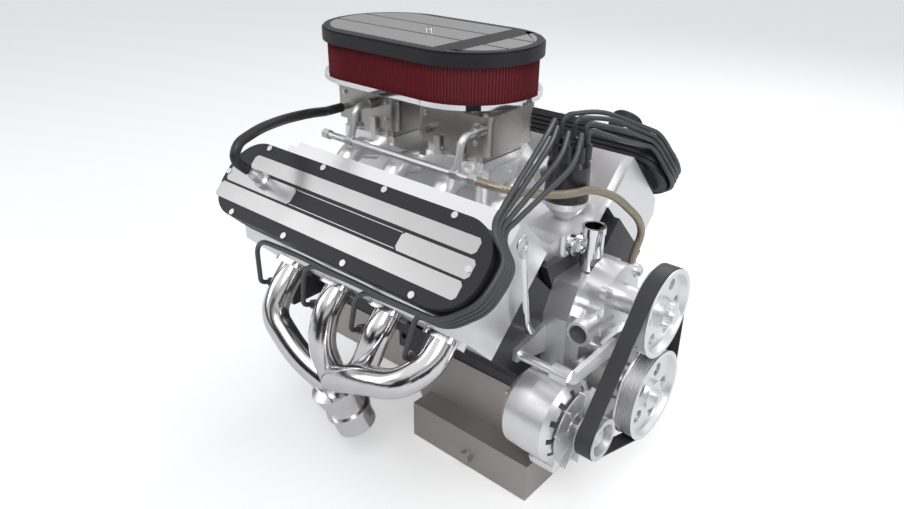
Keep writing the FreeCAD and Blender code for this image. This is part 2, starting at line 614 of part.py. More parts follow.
def camshaft():
    pieces = [cylinder("cam_core_radius", "cam_length", ("cam_start", "0", "cam_height"), "x")]
    for middle in MAINS:
        pieces.append(cylinder("cam_journal_radius", "cam_journal_width",
                               (middle + " - cam_journal_width/2", "0",
                                                                          "cam_height"), "x"))
    for bank, number, peak, x in valve_places():
        angle = bank * 45 + lobe_angle(bank, number, peak)
        y, z = throw_place("%g" % angle, "cam_nose_offset")
        start = "%s - lobe_width/2" % x
        base = cylinder("cam_base_radius", "lobe_width", (start, "0", "cam_height"), "x")
        nose = cylinder("cam_nose_radius", "lobe_width", (start, y, "cam_height + " + z), "x")
        flank = doc.addObject("Part::Compound", "flank")
        wedge = extrude([("-cam_base_radius*cam_flank_cos", "cam_base_radius*cam_flank_sin"),
                         ("cam_base_radius*cam_flank_cos", "cam_base_radius*cam_flank_sin"),
                         ("cam_nose_radius*cam_flank_cos",
                          "cam_nose_offset + cam_nose_radius*cam_flank_sin"),
                         ("-cam_nose_radius*cam_flank_cos",
                          "cam_nose_offset + cam_nose_radius*cam_flank_sin")],
                        "0", "lobe_width")
        flank.Links = [wedge]
        flank.Placement = Placement(Vector(), Rotation(Vector(1, 0, 0), angle))
        link(flank, **{"Placement.Base.x": start, "Placement.Base.z": "cam_height"})
        pieces += [base, nose, flank]
    return node("camshaft", fuse(*pieces))


def lifters():
    made = {RIGHT: [], LEFT: []}
    for bank, number, peak, x in valve_places():
        foot = "%s + cam_base_radius + %s" % (CAM_ALONG, valve_lift(bank, number, peak))
        made[bank].append(cylinder("lifter_radius", "lifter_length",
                                   (x, "%d*%s" % (bank, CAM_ACROSS), foot)))
    return node("lifters", *[on_bank(bank, *group) for bank, group in made.items()])


def pushrods():
    made = {RIGHT: [], LEFT: []}
    for bank, number, peak, x in valve_places():
        foot = "%s + cam_base_radius + lifter_length + %s" % (CAM_ALONG, valve_lift(bank, number, peak))
        rod = turned([("0", "0"), ("3", "pushrod_radius"), ("pushrod_length - 3", "pushrod_radius"),
                      ("pushrod_length", "0")], (x, "%d*%s" % (bank, CAM_ACROSS), foot), "z")
        rod.Placement = Placement(Vector(), Rotation(Vector(bank, 0, 0), measure("pushrod_lean")) * TURN_Z)
        made[bank].append(place(rod, (x, "%d*%s" % (bank, CAM_ACROSS), foot), rod.Placement.Rotation))
    return node("pushrods", *[on_bank(bank, *group) for bank, group in made.items()])


TURN_Z = Rotation(Vector(0, 1, 0), -90)
ROCKER_HEIGHT = "(%s + rocker_pivot_rise)" % HEAD_TOP


def rocker_arms():
    made = {RIGHT: [], LEFT: []}
    for bank, number, peak, x in valve_places():
        tilt = "atan((%s)/(pushrod_top_u - rocker_pivot_u))" % valve_lift(bank, number, peak)
        arm = extrude([("pushrod_top_u - rocker_pivot_u + 7", "-3"),
                       ("pushrod_top_u - rocker_pivot_u + 7", "7"),
                       ("8", "13"), ("-8", "13"), ("valve_u - rocker_pivot_u - 6", "4"),
                       ("valve_u - rocker_pivot_u - 6", "-3"), ("-8", "-5"), ("8", "-5")],
                      "-rocker_width/2", "rocker_width/2")
        tilted = doc.addObject("Part::Compound", "tilted")
        tilted.Links = [arm]
        tilted.Placement = Placement(Vector(), Rotation(Vector(1, 0, 0), 1))
        link(tilted, **{"Placement.Rotation.Angle": tilt})
        holder = doc.addObject("Part::Compound", "rocker")
        holder.Links = [tilted]
        turn = Rotation(Vector(0, 0, 1), 0 if bank == RIGHT else 180)
        holder.Placement = Placement(Vector(), turn)
        made[bank].append(place(holder, (x, "%d*rocker_pivot_u" % bank, ROCKER_HEIGHT), turn))
    return node("rocker_arms", *[on_bank(bank, *group) for bank, group in made.items()])


def valves_and_springs():
    made = {RIGHT: [], LEFT: []}
    for bank, number, peak, x in valve_places():
        radius = "intake_valve_radius - 1" if peak == INTAKE_PEAK else "exhaust_valve_radius - 1"
        face = "%s + chamber_depth - 6 - valve_ratio*%s" % (HEAD_BASE, valve_lift(bank, number, peak))
        u = "%d*valve_u" % bank
        made[bank].append(turned([("0", "0"), ("0", radius), ("3", radius), ("14", "valve_stem_radius"),
                                  ("valve_length", "valve_stem_radius"), ("valve_length", "0")],
                                  (x, u, face), "z"))
        seat = "%s - rocker_floor" % HEAD_TOP
        springs = cut(cylinder("spring_radius", "spring_length - valve_ratio*%s" % valve_lift(bank, number, peak),
                               (x, u, seat)),
                      cylinder("spring_radius - spring_wire", "spring_length + 2", (x, u, seat + " - 1")))
        made[bank].append(springs)
    return node("valves_and_springs", *[on_bank(bank, *group) for bank, group in made.items()])


# ---------------------------------------------------------------- valve covers
def cover_shell():
    """The right cover, upright over its head: a rail, a tall finned wall and a flat bolted lid."""
    middle = "(%s + cover_shift)" % BANK_MIDDLE
    x = ("%s - cover_length/2" % middle, "%s + cover_length/2" % middle)
    y = ("-cover_half_width", "cover_half_width")
    foot_x = (HEAD_REAR, HEAD_FRONT)
    foot_y = ("-cover_half_width + 6", "cover_half_width + 6")
    body = rounded_box(x, y, (HEAD_TOP + " + rail_thick + cover_shoulder", COVER_TOP), "cover_end_radius")
    waist = rounded_box((foot_x[0] + " - 4", foot_x[1] + " + 4"), y,
                        (HEAD_TOP + " + rail_thick", HEAD_TOP + " + rail_thick + cover_shoulder"),
                        "cover_waist_radius")
    rail = rounded_box(foot_x, foot_y, (HEAD_TOP, HEAD_TOP + " + rail_thick"), "cover_waist_radius - 6")
    fins = []
    for step in range(4):
        low = "%s - cover_wall - %d*cover_fin_gap - cover_fin_groove" % (COVER_TOP, step + 1)
        ring = rounded_box(("%s - 1" % x[0], "%s + 1" % x[1]), ("%s - 1" % y[0], "%s + 1" % y[1]),
                           (low, "%s + cover_fin_groove" % low), "cover_end_radius")
        inner = rounded_box(("%s + cover_fin_depth" % x[0], "%s - cover_fin_depth" % x[1]),
                            ("%s + cover_fin_depth" % y[0], "%s - cover_fin_depth" % y[1]),
                            ("%s - 1" % low, "%s + cover_fin_groove + 1" % low),
                            "cover_end_radius - cover_fin_depth")
        fins.append(cut(ring, inner))
    hollow = rounded_box(("%s + cover_wall + cover_fin_depth" % foot_x[0],
                          "%s - cover_wall - cover_fin_depth" % foot_x[1]),
                         ("-cover_half_width + cover_wall + cover_fin_depth",
                          "cover_half_width - cover_wall - cover_fin_depth"),
                         (HEAD_TOP + " - 1", COVER_TOP + " - cover_wall"), "cover_waist_radius - 12")
    return cut(fuse(body, waist, rail), hollow, *fins)


def cover_screw_places():
    """X and Y of the screws round the lid of a right-bank cover."""
    middle = "(%s + cover_screw_shift)" % BANK_MIDDLE
    for row in (-1, 1):
        for step in (-1.5, -0.5, 0.5, 1.5):
            yield "%s + %g*cover_screw_pitch" % (middle, step), "%d*cover_screw_row" % row
    for end in (-1, 1):
        yield "%s + %d*cover_screw_end" % (middle, end), "0"


def valve_covers():
    shell = cover_shell()
    holes = [cylinder("cover_screw_radius", "cover_screw_depth + 1",
                      (x, y, COVER_TOP + " - cover_screw_depth"))
             for x, y in cover_screw_places()]
    drilled = cut(shell, *holes)
    pcv = cylinder("pcv_hole_radius", "cover_wall + 2", ("pcv_x", "pcv_u", COVER_TOP + " - cover_wall - 1"))
    breather = cylinder("breather_hole_radius", "cover_wall + 2",
                        ("breather_x", "breather_u", COVER_TOP + " - cover_wall - 1"))
    node("valve_cover_right", cut(drilled, pcv), bank=1)
    left = on_bank(RIGHT, cut(drilled, breather))
    node("valve_cover_left", mirrored(left), forwards="-bank_stagger")
    screws = []
    for x, y in cover_screw_places():
        screws.append(fuse(cylinder("cover_screw_radius - 0.2", "cover_screw_depth - 1", (x, y, COVER_TOP),
                                    "-z"),
                           cylinder("cover_screw_radius + 2", "screw_head", (x, y, COVER_TOP))))
    right = on_bank(RIGHT, *screws)
    node("cover_screws", right, left_piece(right))


# ---------------------------------------------------------------- intake and carburettors
INTAKE_FACE_LOW = "(%s + 14)" % HEAD_BASE
INTAKE_FACE_HIGH = "(%s - 6)" % HEAD_TOP


def point_on_bank(bank, x, across, along):
    """Millimetres in the engine's frame of a point given in a bank's upright frame."""
    return (measure(x), bank * measure(bank_y(across, along)), measure(bank_z(across, along)))


def intake_manifold():
    shelf = INTAKE_FACE_LOW + " + 12"
    low_y, low_z = bank_y("head_in", shelf), bank_z("head_in", shelf)
    foot = bank_y("head_in", "(china_wall_top/sin(bank_angle) - head_in)")
    tray = extrude([(low_y, low_z), (foot, "china_wall_top"), ("-(%s)" % foot, "china_wall_top"),
                    ("-(%s)" % low_y, low_z), ("-(%s) - tray_step" % low_y, low_z),
                    ("plenum_half_width", "china_wall_top + tray_thick"),
                    ("-plenum_half_width", "china_wall_top + tray_thick"),
                    ("%s + tray_step" % low_y, low_z)],
                   "intake_rear", "intake_front")
    plenum = rounded_box(("carb_rear_x - carb_pad/2 - 6", "carb_front_x + carb_pad/2 + 6"),
                         ("-plenum_half_width", "plenum_half_width"),
                         ("china_wall_top + tray_thick - 2", "carb_seat - pad_thick"), "plenum_round")
    pads = [rounded_box(("%s - carb_pad/2" % x, "%s + carb_pad/2" % x), ("-carb_pad/2", "carb_pad/2"),
                        ("carb_seat - pad_thick - 1", "carb_seat"),
                        "12") for x in ("carb_rear_x", "carb_front_x")]
    crossover = rounded_box(("intake_front - 60", "outlet_face"), ("-44", "44"),
                            ("china_wall_top", "china_wall_top + crossover_height"), "10")
    pieces = [tray, plenum, *pads, crossover]
    for bank in (RIGHT, LEFT):
        rear = HEAD_REAR if bank == RIGHT else "%s - bank_stagger" % HEAD_REAR
        flange = box(("%s + 12" % rear, "%s + head_length - 12" % rear),
                     ("head_in", "head_in + intake_flange") if bank == RIGHT else
                     ("-head_in - intake_flange", "-head_in"), (INTAKE_FACE_LOW, INTAKE_FACE_HIGH))
        pieces.append(on_bank(bank, flange))
        for number in range(4):
            x = bore_x(bank, number)
            port = HEAD_BASE + " + port_height - 4"
            start = point_on_bank(bank, x, "head_in + 4", port)
            knee = point_on_bank(bank, x, "head_in + runner_reach", port)
            end_x = measure(x) + (measure("(carb_rear_x + carb_front_x)/2") - measure(x)) * measure("runner_gather")
            top = (end_x, -bank * measure("plenum_half_width - 20"),
                   measure("carb_seat - pad_thick - runner_radius - 3"))
            pieces.append(shaped(tube([start, knee, top], measure("runner_radius"))))
    bores = []
    for carb in ("carb_rear_x", "carb_front_x"):
        for dx in (-1, 1):
            for dy in (-1, 1):
                bores.append(cylinder("barrel_radius", "60", ("%s + %d*barrel_x" % (carb, dx),
                                                              "%d*barrel_y" % dy,
                                                            "carb_seat - 59")))
    bores.append(cylinder("distributor_bore + seal_gap", "200",
                          ("distributor_x", "distributor_y", "china_wall_top - 20")))
    bores.append(cylinder("outlet_bore", "40", ("outlet_face - 39", "0", "outlet_height"), "x"))
    return node("intake_manifold", cut(fuse(*pieces), *bores))


def carburettor(label, x, inlet_x):
    """One four-barrel carburettor: throttle plate, bowls, main body, air horn."""
    foot = rounded_box(("%s - carb_foot/2" % x, "%s + carb_foot/2" % x), ("-carb_foot/2", "carb_foot/2"),
                       ("carb_seat", "carb_seat + throttle_body"), "10")
    body = rounded_box(("%s - carb_length/2" % x, "%s + carb_length/2" % x),
                       ("-carb_width/2", "carb_width/2"),
                       ("carb_seat + throttle_body", "carb_top - 16"), "14")
    cover = rounded_box(("%s - carb_length/2 - 3" % x, "%s + carb_length/2 + 3" % x),
                        ("-carb_width/2 - 3", "carb_width/2 + 3"), ("carb_top - 16", "carb_top - 8"), "16")
    horn = cylinder("horn_radius", "carb_top + 6 - (carb_top - 10)", (x, "0", "carb_top - 10"))
    inlet = cylinder("9", "carb_inlet_reach - carb_width/2", (inlet_x, "-carb_width/2", "carb_top - 28"),
                     "-y")
    pump = cylinder("8", "14", ("%s + 44" % x, "-carb_width/2 + 8", "carb_top - 10"))
    bores = []
    for dx in (-1, 1):
        for dy in (-1, 1):
            bores.append(cylinder("barrel_radius", "carb_top - carb_seat + 20",
                                  ("%s + %d*barrel_x" % (x, dx), "%d*barrel_y" % dy, "carb_seat - 1")))
        bores.append(cylinder("throttle_shaft_radius + bearing_clearance", "2*throttle_half + 60",
                              ("%s + %d*barrel_x" % (x, dx), "-throttle_half - 30",
                               "carb_seat + throttle_height"), "y"))
    bores.append(cylinder("horn_radius - 5", "24", (x, "0", "carb_top - 16")))
    if x == "carb_rear_x":
        bores.append(cylinder("3 + bearing_clearance", "2*choke_half", (x, "-choke_half", "carb_top + 1"),
                              "y"))
    nipple = cylinder("6", "16", ("%s - 44" % x, "-carb_width/2", "360"), "-y")
    return node(label, cut(fuse(foot, body, cover, horn, inlet, pump, nipple), *bores))


def throttle_shaft(label, x):
    """A throttle shaft with its two round plates and the lever at its right end."""
    shaft = cylinder("throttle_shaft_radius", "2*throttle_half",
                     (x, "-throttle_half", "carb_seat + throttle_height"), "y")
    plates = [cylinder("barrel_radius - 0.4", "1.5", (x, "%d*barrel_y" % side, "carb_seat + throttle_height - 0.75"))
              for side in (-1, 1)]
    lever = box(("%s - 6" % x, "%s + 6" % x), ("-throttle_half - 3", "-throttle_half"),
                ("carb_seat + throttle_height - 6", "carb_seat + throttle_height + 24"))
    return node(label, fuse(shaft, *plates, lever))


def choke_shaft():
    x = "carb_rear_x - choke_offset"
    shaft = cylinder("3", "2*choke_half", (x, "-choke_half", "carb_top + 1"), "y")
    plate = box(("%s - 1" % x, "%s + 1" % x), ("-choke_plate_half", "choke_plate_half"),
                ("carb_top - 14", "carb_top + 14"))
    return node("choke_shaft", fuse(shaft, plate))


# ---------------------------------------------------------------- air cleaner
def air_cleaner():
    x = ("air_middle - air_length/2", "air_middle + air_length/2")
    y = ("-air_width/2", "air_width/2")

    def inset(by, low, high):
        return rounded_box(("%s + %s" % (x[0], by), "%s - (%s)" % (x[1], by)),
                           ("%s + %s" % (y[0], by), "%s - (%s)" % (y[1], by)), (low, high),
                           "air_round - (%s)" % by)

    pan = fuse(inset("0", "air_base_z", "air_base_z + air_rim"))
    tray = inset("air_lip", "air_base_z + air_sheet", "air_base_z + air_rim + 1")
    rings = []
    for carb in ("carb_rear_x", "carb_front_x"):
        rings.append(cylinder("horn_radius + 1", "40", (carb, "0", "air_base_z - 20")))
    band = inset("filter_inset", "air_base_z + air_sheet", "air_lid_z")
    core = inset("filter_inset + filter_thick", "air_base_z", "air_lid_z + 1")
    node("air_filter_element", cut(band, core))
    lid = fuse(inset("0", "air_lid_z", "air_top_z - 3"), inset("3", "air_top_z - 3", "air_top_z"))
    hole = cylinder("3.2", "60", ("air_middle", "0", "air_lid_z - 10"))
    hollow = inset("filter_inset + filter_thick", "air_lid_z - 1", "air_top_z - lid_roof")
    node("air_cleaner_lid", cut(lid, hole, hollow))
    stud = cylinder("3", "air_top_z - air_lid_z + 60", ("air_middle", "0", "air_lid_z - 55"))
    nut = cylinder("7", "5", ("air_middle", "0", "air_top_z"))
    bridge = box(("carb_rear_x + horn_radius + 4", "carb_front_x - horn_radius - 4"), ("-10", "10"),
                 ("air_base_z + air_sheet", "air_lid_z - 55"))
    node("air_cleaner_base", cut(pan, tray, *rings), fuse(stud, nut, bridge))


# ---------------------------------------------------------------- ignition
def distributor():
    axis = ("distributor_x", "distributor_y", "0")
    housing = turned([("cam_height + 34", "rotor_shaft_radius + bearing_clearance"),
                      ("cam_height + 34", "distributor_spigot"), ("china_wall_top", "distributor_spigot"),
                      ("china_wall_top", "distributor_bore"), ("china_wall_top + 37", "distributor_bore"),
                      ("china_wall_top + 40", "distributor_bore + 5"),
                      ("cap_z - 26", "distributor_bore + 7"),
                      ("cap_z - 12", "cap_radius - 2"), ("cap_z", "cap_radius + 3"),
                      ("cap_z", "cap_radius - 5"), ("cap_z - 6", "cap_radius - 5"),
                      ("cap_z - 6", "rotor_shaft_radius + bearing_clearance")], axis, "z")
    vacuum = cylinder("13", "12", ("distributor_x", "distributor_y + cap_radius + 10", "cap_z - 14"), "y")
    arm = cylinder("5", "cap_radius + 14 - distributor_bore",
                   ("distributor_x", "distributor_y + distributor_bore", "cap_z - 14"), "y")
    node("distributor_housing", fuse(housing, arm, vacuum))
    cap = turned([("cap_z", "cap_radius - 4"), ("cap_z", "cap_radius"),
                  ("cap_z + cap_height - 18", "cap_radius - 2"),
                  ("cap_z + cap_height", "cap_radius - 8"), ("cap_z + cap_height", "0"),
                  ("cap_z + cap_height - 12", "0"), ("cap_z + cap_height - 14", "cap_radius - 12")], axis,
                  "z")
    towers = [cylinder("tower_radius", "tower_height + 8", ("distributor_x + tower_ring*cos(%g)" % angle,
                       "distributor_y + tower_ring*sin(%g)" % angle, "cap_z + cap_height - 8"))
              for angle in TOWER_ANGLES]
    towers.append(cylinder("tower_radius", "tower_height + 8",
                           ("distributor_x", "distributor_y", "cap_z + cap_height - 6")))
    node("distributor_cap", fuse(cap, *towers))
    shaft = cylinder("rotor_shaft_radius", "cap_z + rotor_rise - (cam_height + 34)",
                     ("distributor_x", "distributor_y", "cam_height + 34"))
    rotor = box(("distributor_x - 8", "distributor_x + cap_radius - 16"),
                ("distributor_y - 7", "distributor_y + 7"),
                ("cap_z + rotor_rise - 8", "cap_z + rotor_rise"))
    node("distributor_shaft", fuse(shaft, rotor))


TOWER_ANGLES = [22.5 + 45 * i for i in range(8)]
PLUG_OUT = Rotation(Vector(1, 0, 0), 100)


def plug_line(distance):
    """Across and along positions on a spark plug's axis, measured outwards from its seat."""
    return ("(-head_out + plug_notch_depth - (%s)*0.985)" % distance,
            "(%s + plug_rise - (%s)*0.174)" % (HEAD_BASE, distance))


def spark_plugs():
    made = []
    for bore in BORES:
        x = bore + " + plug_shift"
        u, n = plug_line("-14")
        made.append(turned([("0", "0"), ("0", "plug_thread_radius"), ("16", "plug_thread_radius"),
                            ("16", "10"),
                            ("24", "10"), ("26", "6"), ("44", "5"), ("44", "3"), ("52", "3"), ("52", "0")],
                           (x, u, n), "z"))
        made[-1].Placement = Placement(Vector(), PLUG_OUT * TURN_Z)
        place(made[-1], (x, u, n), made[-1].Placement.Rotation)
    right = on_bank(RIGHT, *made)
    return node("spark_plugs", right, left_piece(right))


def plug_boots():
    made = []
    for bore in BORES:
        x = bore + " + plug_shift"
        u, n = plug_line("12")
        sleeve = cylinder("boot_radius", "boot_length", (x, u, n), PLUG_OUT)
        bore_hole = cylinder("6.1", "boot_length - 8", (x, u, n), PLUG_OUT)
        slack = cylinder("10.1", "2.2", (x, u, n), PLUG_OUT)
        top_u, top_n = plug_line("12 + boot_length - boot_radius")
        elbow = cylinder("boot_radius - 2.5", "boot_stem", (x, top_u, top_n), Rotation(Vector(1, 0, 0), 25))
        made.append(cut(fuse(sleeve, elbow), bore_hole, slack))
    right = on_bank(RIGHT, *made)
    return node("plug_boots", right, left_piece(right))


def plug_wires():
    """Four leads a side: over the valley, round the cover's front end and back along its side."""
    radius = measure("wire_radius")
    for bank, label in ((RIGHT, "plug_wires_right"), (LEFT, "plug_wires_left")):
        setback = 0 if bank == RIGHT else -measure("bank_stagger")
        leads = []
        for number in range(4):
            down = measure("wire_gap") * number
            angle = math.radians(TOWER_ANGLES[4 + number] * bank)
            reach = measure("tower_ring")
            tower = (measure("distributor_x") + reach * math.cos(angle),
                     measure("distributor_y") + reach * math.sin(angle),
                     measure("cap_z + cap_height + tower_height"))
            lid = measure(COVER_TOP) - 14 - down
            front = measure("%s + cover_shift + cover_length/2" % BANK_MIDDLE) + setback
            side = measure("cover_half_width")
            boot_x = measure(BORES[number] + " + plug_shift") + setback

            def upright(x, across, along):
                tilt = math.radians(measure("bank_angle"))
                y = across * math.cos(tilt) - along * math.sin(tilt)
                return (x, bank * y, across * math.sin(tilt) + along * math.cos(tilt))

            stem_u, stem_n = (measure(v) for v in plug_line("12 + boot_length - boot_radius"))
            lean = math.radians(25)
            stem = measure("boot_stem")
            tip_u, tip_n = stem_u - stem * math.sin(lean), stem_n + stem * math.cos(lean)
            outside = -side - 9
            climb = measure("lead_climb") - measure("lead_step") * number
            points = [tower, (tower[0], tower[1], tower[2] + climb),
                      (tower[0] + 30, tower[1] - bank * 62, tower[2] + climb - down),
                      upright(front - 20, side - 6, lid + 22), upright(front + 7, side - 34, lid),
                      upright(front + 9, 6, lid), upright(front + 4, -34, lid),
                      upright(front - 40, outside, lid - 4), upright(front - 90, outside, lid - 10)]
            here = front - 90
            while here - (boot_x + 40) > 70:
                here -= 55
                points.append(upright(here, outside - 1.5 * (len(points) % 2), lid - 12))
            points += [upright(boot_x + 14, outside - 4, lid - 22),
                       upright(boot_x, tip_u - 18 * math.sin(lean), tip_n + 18 * math.cos(lean)),
                       upright(boot_x, tip_u, tip_n)]
            leads.append(shaped(tube(points, radius)))
        node(label, *leads)


# ---------------------------------------------------------------- exhaust
def exhaust_headers():
    tubes = []
    for number, bore in enumerate(BORES):
        x = "%s + valve_offset" % bore
        port = HEAD_BASE + " + port_height"
        start = point_on_bank(RIGHT, x, "-head_out - 3", port)
        out = point_on_bank(RIGHT, x, "-head_out - header_reach", port)
        tubes.append(shaped(tube([start, out] + HEADER_ROUTES[number], measure("header_radius"))))
    pads = [rounded_box_y(("%s + valve_offset - header_pad" % bore, "%s + valve_offset + header_pad" % bore),
                          ("-head_out - header_flange", "-head_out"),
                          (HEAD_BASE + " + port_height - header_pad_low",
                           HEAD_BASE + " + port_height + header_pad_low"))
            for bore in BORES]
    flange = on_bank(RIGHT, *pads)
    top, bottom = Vector(*COLLECTOR[0]), Vector(*COLLECTOR[1])
    aim = (bottom - top).normalize()
    radius = measure("collector_radius")
    length = (bottom - top).Length
    cone_part = Part.makeCone(radius + 8, radius, length * 0.45, top, aim)
    pipe = Part.makeCylinder(radius, length, top, aim)
    ring = Part.makeCylinder(radius + 4, 6, bottom - aim * 40, aim)
    bore = Part.makeCylinder(radius - measure("header_wall"), 62, bottom - aim * 60, aim)
    body = fuse(*tubes, flange, shaped(cone_part), shaped(pipe), shaped(ring))
    right = node("exhaust_header_right", cut(body, shaped(bore)))
    left_of(right, "exhaust_header_left")


def rounded_box_y(x, y, z):
    return round_edges(box(x, y, z), "14", axis=1)


HEADER_ROUTES = [
    [(126, -318, 74), (186, -318, 18), (248, -300, -22)],
    [(238, -312, 62), (256, -298, -22)],
    [(330, -300, 62), (268, -292, -22)],
    [(428, -330, 86), (345, -338, 62), (275, -322, 18), (262, -300, -26)],
]
COLLECTOR = [(256, -302, -14), (272, -276, -98)]


# ---------------------------------------------------------------- oil pan and pump
def pan_form(inset, lift):
    """The pan's outer form, or its hollow when inset and lifted by the sheet's thickness."""
    wide = ("-pan_half + %s" % inset, "pan_half - %s" % inset)
    narrow = ("-pan_nose_half + %s" % inset, "pan_nose_half - %s" % inset)
    top = "-pan_rail - pan_sheet + %s" % lift
    tray = box(("pan_rear + %s" % inset, "block_length - %s" % inset), wide,
               ("-pan_shallow + %s" % lift, top))
    nose = box(("block_length - 20", "pan_front - %s" % inset), narrow, ("-pan_shallow + %s" % lift, top))
    slope = extrude_y([("sump_rear - sump_slope + %s" % inset, "-pan_shallow + %s" % lift),
                       ("sump_rear + %s" % inset, "-sump_depth + %s" % lift),
                       ("sump_rear + 40", "-sump_depth + %s" % lift),
                       ("sump_rear + 40", "-pan_shallow + %s" % lift)],
                      wide[0], wide[1])
    deep = box(("sump_rear + 30", "block_length - %s" % inset), wide,
               ("-sump_depth + %s" % lift, "-pan_shallow + 10"))
    front = box(("block_length - 20", "sump_front - %s" % inset), narrow,
                ("-sump_depth + %s" % lift, "-pan_shallow + 10"))
    wings = box(("sump_rear + %s" % inset, "sump_front - %s" % inset),
                ("-sump_half + %s" % inset, "sump_half - %s" % inset),
                ("-sump_depth + %s" % lift, "-sump_box_top - %s" % inset))
    return fuse(tray, nose, slope, deep, front, wings)


def extrude_y(points, y_low, y_high):
    """A prism along Y whose outline is given in X and Z."""
    sketch = outline(points, Rotation(Vector(1, 0, 0), 90))
    link(sketch, **{"Placement.Base.y": y_high})
    prism = doc.addObject("Part::Extrusion", "prism")
    prism.Base, prism.DirMode, prism.Solid = sketch, "Normal", True
    return link(prism, LengthFwd="(%s) - (%s)" % (y_high, y_low))


def oil_pan():
    rail = ("-pan_rail - pan_sheet", "-pan_rail")
    flange = fuse(box(("bell_thick + 0.5", "block_length"),
                      ("-pan_half - pan_flange", "pan_half + pan_flange"), rail),
                  box(("block_length - 20", "pan_front + 3"), ("-pan_nose_half - 4", "pan_nose_half + 4"),
                      rail))
    mouth = fuse(box(("pan_rear + pan_sheet", "block_length - pan_sheet"),
                     ("-pan_half + pan_sheet", "pan_half - pan_sheet"), ("-pan_rail - 30", "-pan_rail + 1")),
                 box(("block_length - 20", "pan_front - pan_sheet"),
                     ("-pan_nose_half + pan_sheet", "pan_nose_half - pan_sheet"),
                     ("-pan_rail - 30", "-pan_rail + 1")))
    notch = cylinder("damper_hub_radius + 2", "60", ("block_length", "0", "0"), "x")
    seal = cylinder("main_radius + 1.5", "pan_rear + pan_sheet + 2 - bell_thick", ("bell_thick", "0", "0"),
                    "x")
    plug = cylinder("drain_radius", "9", ("(sump_rear + sump_front)/2", "-sump_half", "-sump_depth + 22"),
                    "-y")
    node("oil_pan", fuse(cut(fuse(pan_form("0", "0"), flange), pan_form("pan_sheet", "pan_sheet"), mouth,
                             notch, seal), plug))


def oil_pump():
    x = "(%s + bore_pitch - 6)" % MAINS[3]
    body = cylinder("30", "44", (x + " + pump_shift", "pump_y", "-150"))
    gears = cylinder("24", "12", (x + " + pump_shift", "pump_y", "-160"))
    pipe = shaped(tube([(measure(x) + measure("pump_shift"), measure("pump_y"), -140),
                        (measure(x) + measure("pump_shift") - 60, measure("pump_y"), -140),
                        (measure(x) + measure("pump_shift") - 100, measure("pump_y"), -176)], 8))
    screen = cylinder("28", "8", (x + " + pump_shift - 100", "pump_y", "-184"))
    stand = cylinder("17", "107 - cap_depth", (x + " + pump_shift", "pump_y", "-107"))
    return node("oil_pump", fuse(body, gears, pipe, screen, stand))


# ---------------------------------------------------------------- timing drive
def timing_cover():
    wide, top = "timing_half", "timing_top"
    shape = [("-%s" % wide, "-pan_rail"), (wide, "-pan_rail"), (wide, "timing_shoulder"),
             ("timing_crown", top), ("-timing_crown", top), ("-%s" % wide, "timing_shoulder")]
    inner = [("-%s + timing_wall" % wide, "-pan_rail + 0"), ("%s - timing_wall" % wide, "-pan_rail + 0"),
             ("%s - timing_wall" % wide, "timing_shoulder - 3"),
             ("timing_crown - 3", "%s - timing_wall" % top),
             ("-timing_crown + 3", "%s - timing_wall" % top),
             ("-%s + timing_wall" % wide, "timing_shoulder - 3")]
    body = extrude(shape, "block_length", "block_length + timing_depth")
    hollow = extrude(inner, "block_length - 1", "block_length + timing_depth - timing_wall")
    boss = cylinder("damper_hub_radius + 12", "8", ("block_length + timing_depth - 1", "0", "0"), "x")
    hole = cylinder("damper_hub_radius + seal_gap", "80", ("block_length", "0", "0"), "x")
    fuel_pad = box(("block_length", "block_length + timing_depth"), ("timing_half", "fuel_pump_y"),
                   ("fuel_pump_z - 26", "fuel_pump_z + 26"))
    below = box(("block_length", "block_length + timing_depth"), ("-timing_half", "timing_half"),
                ("-90", "-pan_rail"))
    return node("timing_cover", cut(fuse(body, boss, fuel_pad), hollow, hole, below))


def sprocket(radius, teeth, middle_z, bore):
    disc = cylinder(radius, "chain_width - 4", ("chain_x + 2", "0", middle_z), "x")
    hub = cylinder("%s + 1.2" % bore, "chain_width", ("chain_x", "0", middle_z), "x")
    gaps = []
    for tooth in range(teeth):
        angle = 360.0 * tooth / teeth
        gaps.append(cylinder("roller_radius", "chain_width + 4",
                             ("chain_x - 2", "(%s + 1)*cos(%g)" % (radius, angle),
                             "%s + (%s + 1)*sin(%g)" % (middle_z, radius, angle)), "x"))
    return cut(fuse(disc, hub), *gaps, cylinder(bore, "chain_width + 4", ("chain_x - 2", "0", middle_z),
                                                "x"))


def belt_loop(circles, grow, low, high):
    """A prism whose outline is a belt pulled round circles: (y, z, radius), all on its inside."""
    wrapped = [(Vector(0, y, z), radius + grow) for y, z, radius in circles]
    edges = []
    arcs = []
    for index, (hub, radius) in enumerate(wrapped):
        after, after_radius = wrapped[(index + 1) % len(wrapped)]
        gap = after - hub
        bearing = math.atan2(gap.z, gap.y)
        lean = math.acos((radius - after_radius) / gap.Length)
        normal = Vector(0, math.cos(bearing - lean), math.sin(bearing - lean))
        arcs.append((hub + normal * radius, after + normal * after_radius, normal))
    for index, (hub, radius) in enumerate(wrapped):
        arrive, leave = arcs[index - 1], arcs[index]
        edges.append(Part.LineSegment(arrive[0], arrive[1]).toShape())
        start_angle = math.atan2(arrive[2].z, arrive[2].y)
        end_angle = math.atan2(leave[2].z, leave[2].y)
        if end_angle < start_angle:
            end_angle += 2 * math.pi
        half_way = (start_angle + end_angle) / 2
        middle = hub + Vector(0, math.cos(half_way), math.sin(half_way)) * radius
        edges.append(Part.Arc(arrive[1], middle, leave[0]).toShape())
    ring = Part.Face(Part.Wire(edges))
    ring.translate(Vector(low, 0, 0))
    return ring.extrude(Vector(high - low, 0, 0))


